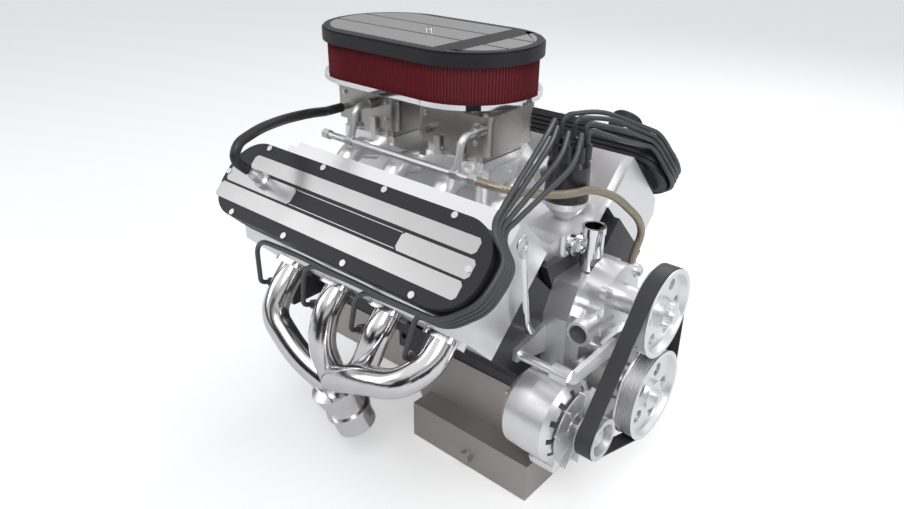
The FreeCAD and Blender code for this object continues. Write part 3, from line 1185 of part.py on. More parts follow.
def timing_chain():
    circles = [(0, 0, measure("crank_sprocket_radius")),
               (0, measure("cam_height"), measure("cam_sprocket_radius"))]
    low, high = measure("chain_x"), measure("chain_x + chain_width")
    band = belt_loop(circles, measure("chain_thick"), low, high).cut(
        belt_loop(circles, measure("seal_gap"), low - 1, high + 1))
    return node("timing_chain", shaped(band))


# ---------------------------------------------------------------- front drive
def damper():
    hub_start = "(chain_x + chain_width + 4)"
    ring = turned([("damper_x", "damper_hub_radius - 4"), ("damper_x", "damper_radius - 3"),
                   ("damper_x + 3", "damper_radius"), ("damper_x + damper_width - 3", "damper_radius"),
                   ("damper_x + damper_width", "damper_radius - 3"),
                   ("damper_x + damper_width", "damper_radius - 16"),
                   ("damper_x + damper_width - 8", "damper_radius - 20"),
                   ("damper_x + damper_width - 8", "damper_hub_radius + 8"),
                   ("damper_x + damper_width + 2", "damper_hub_radius + 4"),
                   ("damper_x + damper_width + 2", "damper_hub_radius - 4")])
    hub = cylinder("damper_hub_radius", "damper_x + 8 - %s" % hub_start, (hub_start, "0", "0"), "x")
    bore = cylinder("snout_radius", "120", (hub_start + " - 2", "0", "0"), "x")
    return node("harmonic_damper", cut(fuse(ring, hub), bore))


def grooved_rim(radius, face, width):
    """Profile points of a ribbed-belt pulley's rim, from its rear edge to its front edge."""
    first = "(%s - %s)" % (face, width)
    points = [(first, "%s + pulley_lip" % radius), ("%s + 1.5" % first, "%s + pulley_lip" % radius)]
    start = "(%s - %s/2 - (belt_ribs/2)*rib_pitch)" % (face, width)
    for groove in range(7):
        left = "(%s + %d*rib_pitch)" % (start, groove)
        points += [("%s + 0.4" % left, radius), ("%s + rib_pitch/2 - 0.35" % left,
                                                 "%s - groove_depth" % radius),
                   ("%s + rib_pitch/2 + 0.35" % left, "%s - groove_depth" % radius),
                   ("%s + rib_pitch - 0.4" % left, radius)]
    points += [("%s - 1.5" % face, "%s + pulley_lip" % radius), (face, "%s + pulley_lip" % radius)]
    return points


def pulley(radius, at_y, at_z, bore, web_at, holes, hole_radius, hole_ring, hub_radius, hub_front):
    """A turned belt pulley with a dished web, round lightening holes and a bored hub."""
    face, width = "pulley_face", "pulley_width"
    profile = grooved_rim(radius, face, width)
    profile += [(face, "%s - 6" % radius), ("%s + pulley_web" % web_at, "%s - 9" % radius),
                ("%s + pulley_web" % web_at, hub_radius), (hub_front, hub_radius), (hub_front, bore),
                (web_at, bore), (web_at, "%s - 9" % radius), ("%s - %s" % (face, width), "%s - 6" % radius)]
    wheel = turned(profile, ("0", at_y, at_z))
    if not holes:
        return wheel
    drills = [cylinder(hole_radius, "40", ("%s - 10" % web_at, "%s + %s*cos(%g)" % (at_y, hole_ring, 360.0 * i / holes),
                       "%s + %s*sin(%g)" % (at_z, hole_ring, 360.0 * i / holes)), "x") for i in range(holes)]
    return cut(wheel, *drills)


def front_drive():
    spacer = "(damper_x + damper_width + 2)"
    crank_web = "(pulley_face - 14)"
    wheel = pulley("crank_pulley_radius", "0", "0", "snout_radius + seal_gap", crank_web, 5, "11", "42",
                   "damper_hub_radius", "pulley_face - 6")
    stem = cylinder("damper_hub_radius", "%s - %s" % (crank_web, spacer), (spacer, "0", "0"), "x")
    stem = cut(stem, cylinder("snout_radius + seal_gap", "90", (spacer + " - 1", "0", "0"), "x"))
    bolt = fuse(cylinder("damper_hub_radius", "5", ("pulley_face - 6", "0", "0"), "x"),
                cylinder("11", "12", ("pulley_face - 2", "0", "0"), "x"))
    node("crank_pulley", fuse(wheel, stem, bolt))
    pump_web = "(pulley_face - 16)"
    wheel = pulley("pump_pulley_radius", "0", "pump_height", "pump_shaft_radius + seal_gap", pump_web, 6,
                   "9", "44",
                   "24", "pulley_face - 4")
    studs = [cylinder("5", "12", ("pulley_face - 4", "16*cos(%d)" % a, "pump_height + 16*sin(%d)" % a), "x")
             for a in (45, 135, 225, 315)]
    cap = cylinder("22", "6", ("pulley_face - 4", "0", "pump_height"), "x")
    nose = cylinder("12", "17", ("pulley_face - 4", "0", "pump_height"), "x")
    node("water_pump_pulley", fuse(wheel, *studs, cap, nose))
    alternator_web = "(pulley_face - pulley_width + 3)"
    wheel = pulley("alternator_pulley_radius", "alternator_y", "alternator_z", "alternator_shaft_radius",
                   alternator_web, 0, "0", "0", "14", "pulley_face - 8")
    node("alternator_pulley", wheel)
    circles = [(measure("alternator_y"), measure("alternator_z"), measure("alternator_pulley_radius")),
               (0, 0, measure("crank_pulley_radius")),
               (0, measure("pump_height"), measure("pump_pulley_radius"))]
    low = measure("pulley_face - pulley_width/2 - belt_ribs/2*rib_pitch + belt_gap")
    high = measure("pulley_face - pulley_width/2 + belt_ribs/2*rib_pitch - belt_gap")
    gap = measure("belt_gap")
    band = belt_loop(circles, gap + measure("belt_back"), low,
                     high).cut(belt_loop(circles, gap, low - 1, high + 1))
    node("serpentine_belt", shaped(band))


def water_pump():
    plate = extrude([("-70", "pump_height - 95"), ("70", "pump_height - 95"), ("70", "pump_height - 20"),
                     ("46", "pump_height + 12"), ("-46", "pump_height + 12"), ("-70", "pump_height - 20")],
                    "pump_face", "pump_face + pump_thick")
    snail = cylinder("pump_body_radius", "pump_body_length", ("pump_face", "0", "pump_height"), "x")
    nose = cylinder("pump_nose_radius", "pump_nose_end - pump_face", ("pump_face", "0", "pump_height"), "x")
    legs = [cylinder("24", "pump_body_length - 6", ("pump_face", "%d*52" % s, "pump_height - 48"),
                     "x") for s in (-1, 1)]
    bridge = [box(("pump_face", "pump_face + pump_body_length - 6"), span(s, "20", "60"),
                  ("pump_height - 60", "pump_height"))
              for s in (-1, 1)]
    inlet = cylinder("inlet_radius - hose_bead", "inlet_reach",
                     ("pump_face + 24", "-20", "pump_height - inlet_drop"), "-y")
    bead = cylinder("inlet_radius", "inlet_bead_length",
                    ("pump_face + 24", "-20 - inlet_reach + inlet_bead_length", "pump_height - inlet_drop"),
                    "-y")
    bosses = [cylinder("11", "10", ("pump_face + pump_body_length - 8", y, z), "x") for y, z in
              (("-46", "pump_height + 26"), ("-60", "pump_height - 36"), ("60", "pump_height - 36"),
               ("46", "pump_height + 26"))]
    chamber = cylinder("impeller_radius + 2", "26", ("pump_face - 1", "0", "pump_height"), "x")
    bore = cylinder("pump_shaft_radius + bearing_clearance", "120", ("pump_face - 1", "0", "pump_height"),
                    "x")
    inlet_bore = cylinder("inlet_radius - 5", "inlet_reach",
                          ("pump_face + 24", "-22", "pump_height - inlet_drop"), "-y")
    whole = fuse(plate, snail, nose, *legs, *bridge, inlet, bead, *bosses)
    node("water_pump_housing", cut(whole, chamber, bore, inlet_bore))
    shaft = cylinder("pump_shaft_radius", "pulley_face - 4 - (pump_face + 4)",
                     ("pump_face + 4", "0", "pump_height"), "x")
    flange = cylinder("24", "6", ("pulley_face - 16 - 6", "0", "pump_height"), "x")
    wheel = cylinder("impeller_radius", "3", ("pump_face + 4", "0", "pump_height"), "x")
    vanes = [box(("pump_face + 6", "pump_face + 20"), ("-2", "2"),
                 ("10", "impeller_radius - 1")) for _ in range(6)]
    turned_vanes = []
    for index, vane in enumerate(vanes):
        carrier = doc.addObject("Part::Compound", "vane")
        carrier.Links = [vane]
        carrier.Placement = Placement(Vector(), Rotation(Vector(1, 0, 0), 60 * index))
        turned_vanes.append(link(carrier, **{"Placement.Base.z": "pump_height"}))
    node("water_pump_shaft", fuse(shaft, flange, wheel, *turned_vanes))


def thermostat_housing():
    flange = round_edges(box(("outlet_face", "outlet_face + 9"), ("-38", "38"),
                             ("outlet_height - 18", "outlet_height + 18")),
                         "16", axis=0)
    elbow = cylinder("outlet_bore + 4", "neck_x - outlet_face", ("outlet_face", "0", "outlet_height"), "x")
    neck = cylinder("neck_radius - hose_bead", "neck_top - neck_low", ("neck_x", "0", "neck_low"))
    bead = cylinder("neck_radius", "neck_bead_length", ("neck_x", "0", "neck_top - neck_bead_length"))
    hollow = cylinder("neck_bore", "neck_top - neck_low", ("neck_x", "0", "neck_low + 6"))
    side = cylinder("outlet_bore", "neck_x - outlet_face + 1", ("outlet_face - 1", "0", "outlet_height"),
                    "x")
    return node("thermostat_housing", cut(fuse(flange, elbow, neck, bead), hollow, side))


# ---------------------------------------------------------------- alternator, fuel and breathing
def alternator():
    at = ("0", "alternator_y", "alternator_z")
    case = turned([("alternator_rear", "0"), ("alternator_rear", "alternator_radius - 16"),
                   ("alternator_rear + 12", "alternator_radius - 2"),
                   ("alternator_rear + 40", "alternator_radius"),
                   ("alternator_front - 12", "alternator_radius"),
                   ("alternator_front", "alternator_radius - 14"),
                   ("alternator_front", "17"), ("alternator_front + 5", "17"),
                   ("alternator_front + 5", "0")], at)
    slots = []
    for index in range(12):
        carrier = doc.addObject("Part::Compound", "slot")
        carrier.Links = [box(("alternator_front - 22", "alternator_front + 1"), ("-4.5", "4.5"),
                             ("26", "alternator_radius - 8"))]
        carrier.Placement = Placement(Vector(), Rotation(Vector(1, 0, 0), 30 * index))
        slots.append(link(carrier, **{"Placement.Base.y": "alternator_y",
                                      "Placement.Base.z": "alternator_z"}))
    bore = cylinder("alternator_shaft_radius + bearing_clearance", "60",
                    ("alternator_front - 40", "alternator_y", "alternator_z"), "x")
    ears = [cylinder("13", "30", ("alternator_front - 40", "alternator_y + 4",
                                  "alternator_z + alternator_radius + 8"), "x"),
            cylinder("13", "alternator_front - 10 - (block_length + timing_depth + 18)",
                     ("block_length + timing_depth + 18", "alternator_y - 12",
                      "alternator_z - alternator_radius - 12"), "x")]
    ears.append(box(("alternator_front - 40", "alternator_front - 10"),
                    ("alternator_y - 4", "alternator_y + 12"),
                    ("alternator_z + alternator_radius - 4", "alternator_z + alternator_radius + 4")))
    ears.append(box(("block_length + timing_depth + 18", "alternator_front - 10"),
                    ("alternator_y - 20", "alternator_y - 4"),
                    ("alternator_z - alternator_radius - 6", "alternator_z - alternator_radius + 6")))
    studs = [cylinder("3.2", "14", ("alternator_rear - 12", "alternator_y + 30*cos(%d)" % a,
                                    "alternator_z + 30*sin(%d)" % a), "x")
             for a in (20, 140)]
    node("alternator_case", cut(fuse(case, *ears, *studs), bore, *slots))
    rotor = cylinder("alternator_shaft_radius", "pulley_face - 6 - (alternator_front - 30)",
                     ("alternator_front - 30", "alternator_y", "alternator_z"), "x")
    disc = cylinder("26", "3", ("alternator_front + 8", "alternator_y", "alternator_z"), "x")
    blades = []
    for index in range(10):
        carrier = doc.addObject("Part::Compound", "blade")
        carrier.Links = [box(("alternator_front + 8", "alternator_front + 18"), ("-1.5", "1.5"),
                             ("20", "fan_radius"))]
        carrier.Placement = Placement(Vector(), Rotation(Vector(1, 0, 0), 36 * index))
        blades.append(link(carrier, **{"Placement.Base.y": "alternator_y",
                                       "Placement.Base.z": "alternator_z"}))
    plate = cylinder("fan_radius - 4", "2", ("alternator_front + 8", "alternator_y", "alternator_z"), "x")
    node("alternator_rotor", fuse(rotor, disc, plate, *blades))
    rod_z = "(alternator_z + alternator_radius + 8)"
    rod_y = "(alternator_y + 4)"
    spacer = cylinder("7", "alternator_front - 40 - (block_length + 9)", ("block_length + 9", rod_y, rod_z),
                      "x")
    back_plate = extrude([("-timing_half - 0.5", "60"), ("-timing_half - 0.5", "110"),
                          (rod_y + " - 10", rod_z + " + 12"),
                          (rod_y + " - 10", rod_z + " - 8")], "block_length", "block_length + 9")
    arm = ("alternator_front - 10", "alternator_front - 2")
    front_arm = extrude([("-44", "pump_height - 74"), ("-44", "pump_height - 46"),
                         (rod_y + " + 2", rod_z + " + 13"),
                         (rod_y + " - 11", rod_z), (rod_y + " + 2", rod_z + " - 7")], arm[0], arm[1])
    standoff = cylinder("6", "%s - (pump_face + pump_body_length - 6)" % arm[0],
                        ("pump_face + pump_body_length - 6", "-54", "pump_height - 66"), "x")
    low_y, low_z = "(alternator_y - 12)", "(alternator_z - alternator_radius - 12)"
    low_arm = extrude([("-60", "-4"), ("-60", "20"), ("-80", "20"), ("-90", "-16"), ("-104", "-40"),
                       ("-126", "-58"),
                       ("-160", "-58.5"), (low_y + " - 12", low_z + " + 2"),
                       (low_y + " - 6", low_z + " - 12"),
                       ("-150", "-80"), ("-116", "-74"), ("-90", "-52"), ("-76", "-16")],
                      "block_length + timing_depth + 10", "block_length + timing_depth + 18")
    foot = cylinder("9", "10.5", ("block_length + timing_depth", "-70", "8"), "x")
    node("alternator_bracket", spacer, back_plate, fuse(front_arm, standoff), fuse(low_arm, foot))


def fuel_system():
    y = "fuel_pump_y"
    x = "block_length + fuel_pump_forward"
    body = cylinder("24", "14", (x, y, "fuel_pump_z"), "y")
    neck = cylinder("18", "24", (x, "%s + 13" % y, "fuel_pump_z"), "y")
    dome = turned([("0", "0"), ("0", "25"), ("16", "25"), ("24", "18"), ("28", "0")],
                  (x, "%s + 34" % y, "fuel_pump_z"), "y")
    outlet = cylinder("7", "30", (x, "%s + 40" % y, "fuel_pump_z + 16"), "z")
    node("fuel_pump", fuse(body, neck, dome, outlet))
    log = cylinder("rail_radius", "rail_front - rail_rear", ("rail_rear", "rail_y", "rail_z"), "x")
    drops = [shaped(tube([(measure(at), -measure("carb_inlet_reach"), measure("carb_top - 28")),
                          (measure(at), -measure("carb_inlet_reach") - 26, measure("carb_top - 28")),
                          (measure(at), measure("rail_y"), measure("rail_z"))], measure("rail_radius")))
             for at in ("carb_inlet_rear", "carb_inlet_front")]
    nuts = [hexagon("rail_radius + 3", "14", (x, "rail_y", "rail_z")) for x in
            ("rail_rear", "carb_inlet_rear - 7", "carb_inlet_front - 7", "rail_front - 16")]
    node("fuel_rail", fuse(log, *drops, *nuts))
    start = (measure("rail_front"), measure("rail_y"), measure("rail_z"))
    points = [start, (start[0] + 42, start[1], start[2]), (480, -76, 312), (500, -34, 306), (502, 30, 296),
              (522, 72, 276), (545, 118, 228), (538, 150, 188),
              (measure("block_length + fuel_pump_forward"), measure("fuel_pump_y + 40"), 148),
              (measure("block_length + fuel_pump_forward"), measure("fuel_pump_y + 40"),
               measure("fuel_pump_z + 46"))]
    node("fuel_hose", shaped(tube(points, measure("hose_radius"))))


def hexagon(radius, length, at):
    prism = doc.addObject("Part::Prism", "hexagon")
    prism.Polygon = 6
    link(prism, Circumradius=radius, Height=length)
    return place(prism, at, TURNS["x"])


def breathing():
    cap_at = ("breather_x", "breather_u", COVER_TOP)
    cap = turned([("-cover_wall + 1", "0"), ("-cover_wall + 1", "breather_hole_radius - 0.3"),
                  ("0", "breather_hole_radius - 0.3"), ("0", "breather_hole_radius + 3"),
                  ("8", "breather_hole_radius + 3"),
                  ("8", "breather_radius"), ("breather_height - 3", "breather_radius"),
                  ("breather_height", "breather_radius - 3"), ("breather_height", "0")], cap_at, "z")
    flip = on_bank(RIGHT, cap)
    node("breather_cap", mirrored(flip), forwards="-bank_stagger")
    body = turned([("-cover_wall + 1", "0"), ("-cover_wall + 1", "pcv_hole_radius - 0.3"),
                   ("0", "pcv_hole_radius - 0.3"),
                   ("0", "pcv_hole_radius + 4"), ("8", "pcv_hole_radius + 4"), ("12", "pcv_hole_radius"),
                   ("26", "pcv_hole_radius"), ("34", "6"), ("40", "6"), ("40", "0")],
                   ("pcv_x", "pcv_u", COVER_TOP), "z")
    node("pcv_valve", body, bank=1)
    tip = point_on_bank(RIGHT, "pcv_x", "pcv_u", COVER_TOP + " + 40")
    points = [tip, (90, -332, 339), (88, -320, 362), (84, -276, 374), (80, -225, 377), (76, -170, 374),
              (62, -128, 365), (measure("carb_rear_x - 44"), -114, 360),
              (measure("carb_rear_x - 44"), -measure("carb_width/2 + 16"), 360)]
    node("pcv_hose", shaped(tube(points, measure("pcv_hose_radius"))))
    points = [(measure("block_length"), -150, 128), (531, -150, 128), (531, -168, 152), (532, -180, 206),
              (532, -190, 272)]
    top = Vector(*points[-1])
    aim = (top - Vector(*points[-2])).normalize()
    mouth = Part.makeCylinder(3, 36, top - aim * 34, aim)
    node("dipstick_tube", shaped(tube(points, measure("stick_tube_radius")).cut(mouth)))
    blade = Part.makeCylinder(2.4, 44, top - aim * 30, aim)
    cap = Part.makeCylinder(measure("stick_tube_radius") + 1.5, 8, top, aim)
    loop = Part.makeTorus(11, 2, top + aim * 20, Vector(1, 0, 0))
    node("dipstick", shaped(cap.fuse([blade, loop])))


# ---------------------------------------------------------------- the whole engine
engine_block()
main_bearing_caps()
crankshaft()
left_of(cylinder_head_right(), "cylinder_head_left")
head_gaskets()
pistons()
connecting_rods()
camshaft()
lifters()
pushrods()
rocker_arms()
valves_and_springs()
valve_covers()
intake_manifold()
for position, carb_x in (("rear", "carb_rear_x"), ("front", "carb_front_x")):
    carburettor("carburettor_%s" % position, carb_x, "carb_inlet_%s" % position)
    throttle_shaft("throttle_shaft_%s_primary" % position, "(%s + barrel_x)" % carb_x)
    throttle_shaft("throttle_shaft_%s_secondary" % position, "(%s - barrel_x)" % carb_x)
choke_shaft()
air_cleaner()
distributor()
spark_plugs()
plug_boots()
plug_wires()
exhaust_headers()
oil_pan()
oil_pump()
timing_cover()
node("cam_sprocket", sprocket("cam_sprocket_radius", 42, "cam_height", "cam_core_radius"))
timing_chain()
damper()
front_drive()
water_pump()
thermostat_housing()
alternator()
fuel_system()
breathing()

# ---------------------------------------------------------------- checks and files
doc.recompute()
for thing in doc.Objects:
    if {"Invalid", "Error"} & set(thing.State):
        raise RuntimeError("%s did not build" % thing.Label)
os.makedirs("parts", exist_ok=True)
for part in NODES:
    if part.Shape.isNull() or not part.Shape.isValid() or not part.Shape.Solids:
        raise RuntimeError("%s has no valid solid" % part.Label)
    part.Shape.exportStep("parts/%s.step" % part.Label)
    print("%-28s %3d solids %10.0f mm3" % (part.Label, len(part.Shape.Solids), part.Shape.Volume))
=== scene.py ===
"""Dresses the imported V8 engine: polished castings, striped covers, pleated filter, leads and the studio."""
import logging
import math
from dataclasses import dataclass, field
from enum import Enum
from typing import Sequence

import bmesh
import bpy
from mathutils import Matrix, Vector


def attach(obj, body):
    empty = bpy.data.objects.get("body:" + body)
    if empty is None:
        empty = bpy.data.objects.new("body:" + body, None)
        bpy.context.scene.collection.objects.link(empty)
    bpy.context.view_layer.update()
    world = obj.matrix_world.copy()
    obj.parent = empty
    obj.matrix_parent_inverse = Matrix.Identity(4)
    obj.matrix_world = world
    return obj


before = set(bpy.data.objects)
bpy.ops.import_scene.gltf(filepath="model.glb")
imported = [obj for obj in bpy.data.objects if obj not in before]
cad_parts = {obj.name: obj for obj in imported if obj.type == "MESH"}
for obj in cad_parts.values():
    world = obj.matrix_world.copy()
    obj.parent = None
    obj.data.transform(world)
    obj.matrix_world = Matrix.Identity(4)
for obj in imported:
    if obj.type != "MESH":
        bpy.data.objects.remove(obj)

LOG = logging.getLogger("engine")
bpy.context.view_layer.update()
MM = 0.001
Point = tuple[float, float, float]
Pair = tuple[float, float]


# ------------------------------------------------------------------ shader arithmetic
class Sock:
    """A number socket that adds its own Math nodes when it is used in arithmetic."""

    def __init__(self, graph: "Graph", socket: bpy.types.NodeSocket) -> None:
        """Args:
            graph: The material graph that new nodes join.
            socket: The output this value comes from.
        """
        self.graph, self.socket = graph, socket

    def _math(self, operation: str, first: object, second: object) -> "Sock":
        """Returns: The result of one Math node."""
        return self.graph.node("ShaderNodeMath", {"operation": operation}, {0: first, 1: second})

    def __add__(self, other: object) -> "Sock":
        """Returns: The sum."""
        return self._math("ADD", self, other)

    __radd__ = __add__

    def __mul__(self, other: object) -> "Sock":
        """Returns: The product."""
        return self._math("MULTIPLY", self, other)

    __rmul__ = __mul__

    def __sub__(self, other: object) -> "Sock":
        """Returns: The difference."""
        return self._math("SUBTRACT", self, other)

    def __rsub__(self, other: object) -> "Sock":
        """Returns: The difference, reflected."""
        return self._math("SUBTRACT", other, self)


class Graph:
    """One material's nodes."""

    def __init__(self, tree: bpy.types.NodeTree) -> None:
        """Args:
            tree: The node tree to fill.
        """
        self.tree = tree

    def node(self, kind: str, settings: dict | None = None, inputs: dict | None = None,
             output: object = 0) -> Sock:
        """Adds one node.

        Args:
            kind: The node's type.
            settings: Its settings, set before its sockets.
            inputs: Values or links of its sockets, by name or index.
            output: The output that is returned.

        Returns: The chosen output.
        """
        made = self.tree.nodes.new(kind)
        for name, value in (settings or {}).items():
            if name == "stops":
                ramp = made.color_ramp.elements
                while len(ramp) < len(value):
                    ramp.new(0.5)
                for stop, (place, colour) in zip(ramp, value):
                    stop.position, stop.color = place, (*colour, 1)
            else:
                setattr(made, name, value)
        for name, value in (inputs or {}).items():
            if isinstance(value, Sock):
                self.tree.links.new(value.socket, made.inputs[name])
            else:
                made.inputs[name].default_value = value
        return Sock(self, made.outputs[output])

    def mix(self, factor: object, first: object, second: object) -> Sock:
        """Returns: Two colours mixed."""
        return self.node("ShaderNodeMix", {"data_type": "RGBA"}, {0: factor, 6: first, 7: second}, 2)

    def place(self, stretch: Point = (1, 1, 1), turn: Point = (0, 0, 0)) -> Sock:
        """Returns: Object coordinates, turned and stretched."""
        spot = self.node("ShaderNodeTexCoord", output="Object")
        return self.node("ShaderNodeMapping", inputs={"Vector": spot, "Scale": stretch, "Rotation": turn})

    def noise(self, where: Sock, scale: float, detail: float = 3.0) -> Sock:
        """Returns: A cloud from 0 to 1."""
        return self.node("ShaderNodeTexNoise", inputs={"Vector": where, "Scale": scale, "Detail": detail})


class Grain(Enum):
    """How a surface's small relief runs."""

    CAST = "cast"
    POLISHED = "polished"
    BRUSHED = "brushed"
    SHEET = "sheet"
    MOULDED = "moulded"
    BRAIDED = "braided"
    GAUZE = "gauze"


@dataclass(frozen=True)
class Finish:
    """One surface finish.

    Attributes:
        name: The material's name.
        colour: Its main colour, linear.
        shade: A second colour that clouds it.
        metal: 1 for bare metal.
        rough: Mean roughness.
        vary: How much roughness changes over the surface.
        grain: The kind of relief.
        relief: The relief's bump strength.
        coat: Clear coat weight.
    """

    name: str
    colour: Point
    shade: Point
    metal: float = 0.0
    rough: float = 0.5
    vary: float = 0.1
    grain: Grain = Grain.MOULDED
    relief: float = 0.1
    coat: float = 0.0
    turn: Point = (0, 0, 0)

    def material(self) -> bpy.types.Material:
        """Returns: The finish's material, built once."""
        found = bpy.data.materials.get(self.name)
        if found:
            return found
        made = bpy.data.materials.new(self.name)
        made.use_nodes = True
        made.node_tree.nodes.clear()
        graph = Graph(made.node_tree)
        cloud = graph.noise(graph.place(), 14)
        fine = self._fine(graph)
        colour = graph.mix(cloud * 0.6 + fine * 0.4, (*self.colour, 1), (*self.shade, 1))
        rough = cloud * (2 * self.vary) + (self.rough - self.vary)
        bump = graph.node("ShaderNodeBump", inputs={"Strength": self.relief, "Distance": 0.001, "Height": fine})
        shader = graph.node("ShaderNodeBsdfPrincipled", inputs={
            "Base Color": colour, "Metallic": self.metal, "Roughness": rough, "Coat Weight": self.coat,
            "Coat Roughness": 0.12, "Normal": bump})
        end = made.node_tree.nodes.new("ShaderNodeOutputMaterial")
        made.node_tree.links.new(shader.socket, end.inputs["Surface"])
        return made

    def _fine(self, graph: Graph) -> Sock:
        """Returns: The fine relief, from 0 to 1."""
        if self.grain is Grain.BRUSHED:
            return graph.noise(graph.place((6, 900, 900), self.turn), 1, 2)
        if self.grain is Grain.SHEET:
            return graph.noise(graph.place((30, 700, 700), self.turn), 1, 4)
        if self.grain is Grain.BRAIDED:
            spot = graph.place((1, 1, 1), (0, 0, math.radians(35)))
            first = graph.node("ShaderNodeTexWave", {"bands_direction": "X"}, {"Vector": spot, "Scale": 140.0},
                               1)
            second = graph.node("ShaderNodeTexWave", {"bands_direction": "Y"}, {"Vector": spot, "Scale": 140.0},
                                1)
            return first * 0.5 + second * 0.5
        if self.grain is Grain.GAUZE:
            return graph.noise(graph.place((1, 1, 1)), 900, 2)
        scale = {Grain.CAST: 420.0, Grain.POLISHED: 60.0}.get(self.grain, 700.0)
        return graph.noise(graph.place(), scale, 4)


POLISHED = Finish("polished_aluminium", (0.66, 0.65, 0.64), (0.50, 0.50, 0.51), 1, 0.15, 0.05, Grain.POLISHED,
                  0.12)
CASTING = Finish("cast_aluminium", (0.50, 0.49, 0.48), (0.34, 0.34, 0.34), 1, 0.34, 0.08, Grain.CAST, 0.25)
CHROME = Finish("bright_chrome", (0.88, 0.88, 0.90), (0.78, 0.78, 0.80), 1, 0.06, 0.03, Grain.POLISHED, 0.03)
HEADER = Finish("polished_pipe", (0.80, 0.79, 0.79), (0.62, 0.61, 0.62), 1, 0.16, 0.06, Grain.POLISHED, 0.06)
STEEL = Finish("machined_steel", (0.55, 0.54, 0.53), (0.38, 0.37, 0.36), 1, 0.28, 0.08, Grain.BRUSHED, 0.1)
BRIGHT = Finish("bright_steel", (0.74, 0.73, 0.72), (0.55, 0.55, 0.55), 1, 0.2, 0.06, Grain.BRUSHED, 0.06)
SUMP = Finish("bare_sheet_steel", (0.50, 0.47, 0.45), (0.38, 0.36, 0.35), 0.75, 0.46, 0.08, Grain.SHEET, 0.12)
SATIN = Finish("satin_black", (0.012, 0.012, 0.014), (0.02, 0.02, 0.023), 0, 0.34, 0.05, Grain.MOULDED, 0.05,
               0.2)
BLOCK = Finish("block_paint", (0.016, 0.016, 0.018), (0.03, 0.03, 0.032), 0, 0.42, 0.08, Grain.CAST, 0.35, 0.1)
STRIPE = Finish("brushed_stripe", (0.62, 0.61, 0.61), (0.50, 0.50, 0.51), 0.85, 0.3, 0.05, Grain.BRUSHED, 0.05)
PLASTIC = Finish("moulded_black", (0.012, 0.012, 0.013), (0.022, 0.022, 0.024), 0, 0.3, 0.06, Grain.MOULDED,
                 0.06, 0.15)
LEAD = Finish("charcoal_silicone", (0.045, 0.046, 0.05), (0.075, 0.077, 0.082), 0, 0.42, 0.06, Grain.MOULDED,
              0.05)
BOOT = Finish("charcoal_boot", (0.07, 0.068, 0.066), (0.11, 0.107, 0.104), 0, 0.55, 0.06, Grain.MOULDED, 0.1)
BELT = Finish("ribbed_belt", (0.028, 0.028, 0.03), (0.05, 0.05, 0.053), 0, 0.5, 0.06, Grain.MOULDED, 0.15)
HOSE = Finish("black_hose", (0.012, 0.012, 0.012), (0.028, 0.028, 0.03), 0, 0.4, 0.05, Grain.MOULDED, 0.06)
BRAID = Finish("braided_sleeve", (0.52, 0.46, 0.36), (0.26, 0.23, 0.18), 0.8, 0.34, 0.06, Grain.BRAIDED, 0.6)
GAUZE = Finish("red_gauze", (0.20, 0.012, 0.022), (0.09, 0.006, 0.010), 0, 0.62, 0.06, Grain.GAUZE, 0.35)
ZINC = Finish("zinc_casting", (0.56, 0.55, 0.52), (0.34, 0.33, 0.30), 0.9, 0.3, 0.08, Grain.CAST, 0.3)
GASKET = Finish("composite_gasket", (0.10, 0.10, 0.10), (0.16, 0.15, 0.14), 0, 0.7, 0.05, Grain.CAST, 0.2)

NODE_FINISHES: dict[str, Finish] = {
    "engine_block": BLOCK, "main_bearing_caps": STEEL, "crankshaft": STEEL, "cylinder_head_right": POLISHED,
    "cylinder_head_left": POLISHED, "head_gaskets": GASKET, "pistons_and_pins": CASTING,
    "connecting_rods": STEEL,
    "camshaft": STEEL, "lifters": STEEL, "pushrods": STEEL, "rocker_arms": CASTING, "valves_and_springs": STEEL,
    "valve_cover_right": SATIN, "valve_cover_left": SATIN, "cover_screws": BRIGHT, "intake_manifold": POLISHED,
    "carburettor_rear": ZINC, "carburettor_front": ZINC, "throttle_shaft_rear_primary": BRIGHT,
    "throttle_shaft_rear_secondary": BRIGHT, "throttle_shaft_front_primary": BRIGHT,
    "throttle_shaft_front_secondary": BRIGHT, "choke_shaft": BRIGHT, "air_cleaner_base": CHROME,
    "air_filter_element": GAUZE, "air_cleaner_lid": SATIN, "distributor_housing": POLISHED,
    "distributor_cap": PLASTIC, "distributor_shaft": STEEL, "spark_plugs": BRIGHT, "plug_boots": BOOT,
    "plug_wires_right": LEAD, "plug_wires_left": LEAD, "exhaust_header_right": HEADER,
    "exhaust_header_left": HEADER, "oil_pan": SUMP, "oil_pump": CASTING, "timing_cover": POLISHED,
    "cam_sprocket": STEEL, "timing_chain": STEEL, "harmonic_damper": STEEL, "crank_pulley": POLISHED,
    "water_pump_pulley": POLISHED, "alternator_pulley": BRIGHT, "serpentine_belt": BELT,
    "water_pump_housing": POLISHED, "water_pump_shaft": STEEL, "thermostat_housing": CHROME,
    "alternator_case": POLISHED, "alternator_rotor": BRIGHT, "alternator_bracket": POLISHED,
    "fuel_pump": POLISHED, "fuel_rail": BRIGHT, "fuel_hose": BRAID, "breather_cap": SATIN, "pcv_valve": BRIGHT,
    "pcv_hose": HOSE, "dipstick_tube": CHROME, "dipstick": BRIGHT,
}


class Bank(Enum):
    """The right bank, or the left one that mirrors it and stands further back."""

    RIGHT = 1
    LEFT = -1

    def place(self, along: float, across: float, height: float) -> Vector:
        """Args:
            along: Distance along the crankshaft, millimetres.
            across: Distance across the bank, towards the valley.
            height: Distance out along the cylinders.

        Returns: The point in metres.
        """
        half = math.sqrt(0.5)
        shift = -20.0 if self is Bank.LEFT else 0.0
        return Vector((along + shift, -self.value * (height - across) * half, (across + height) * half)) * MM


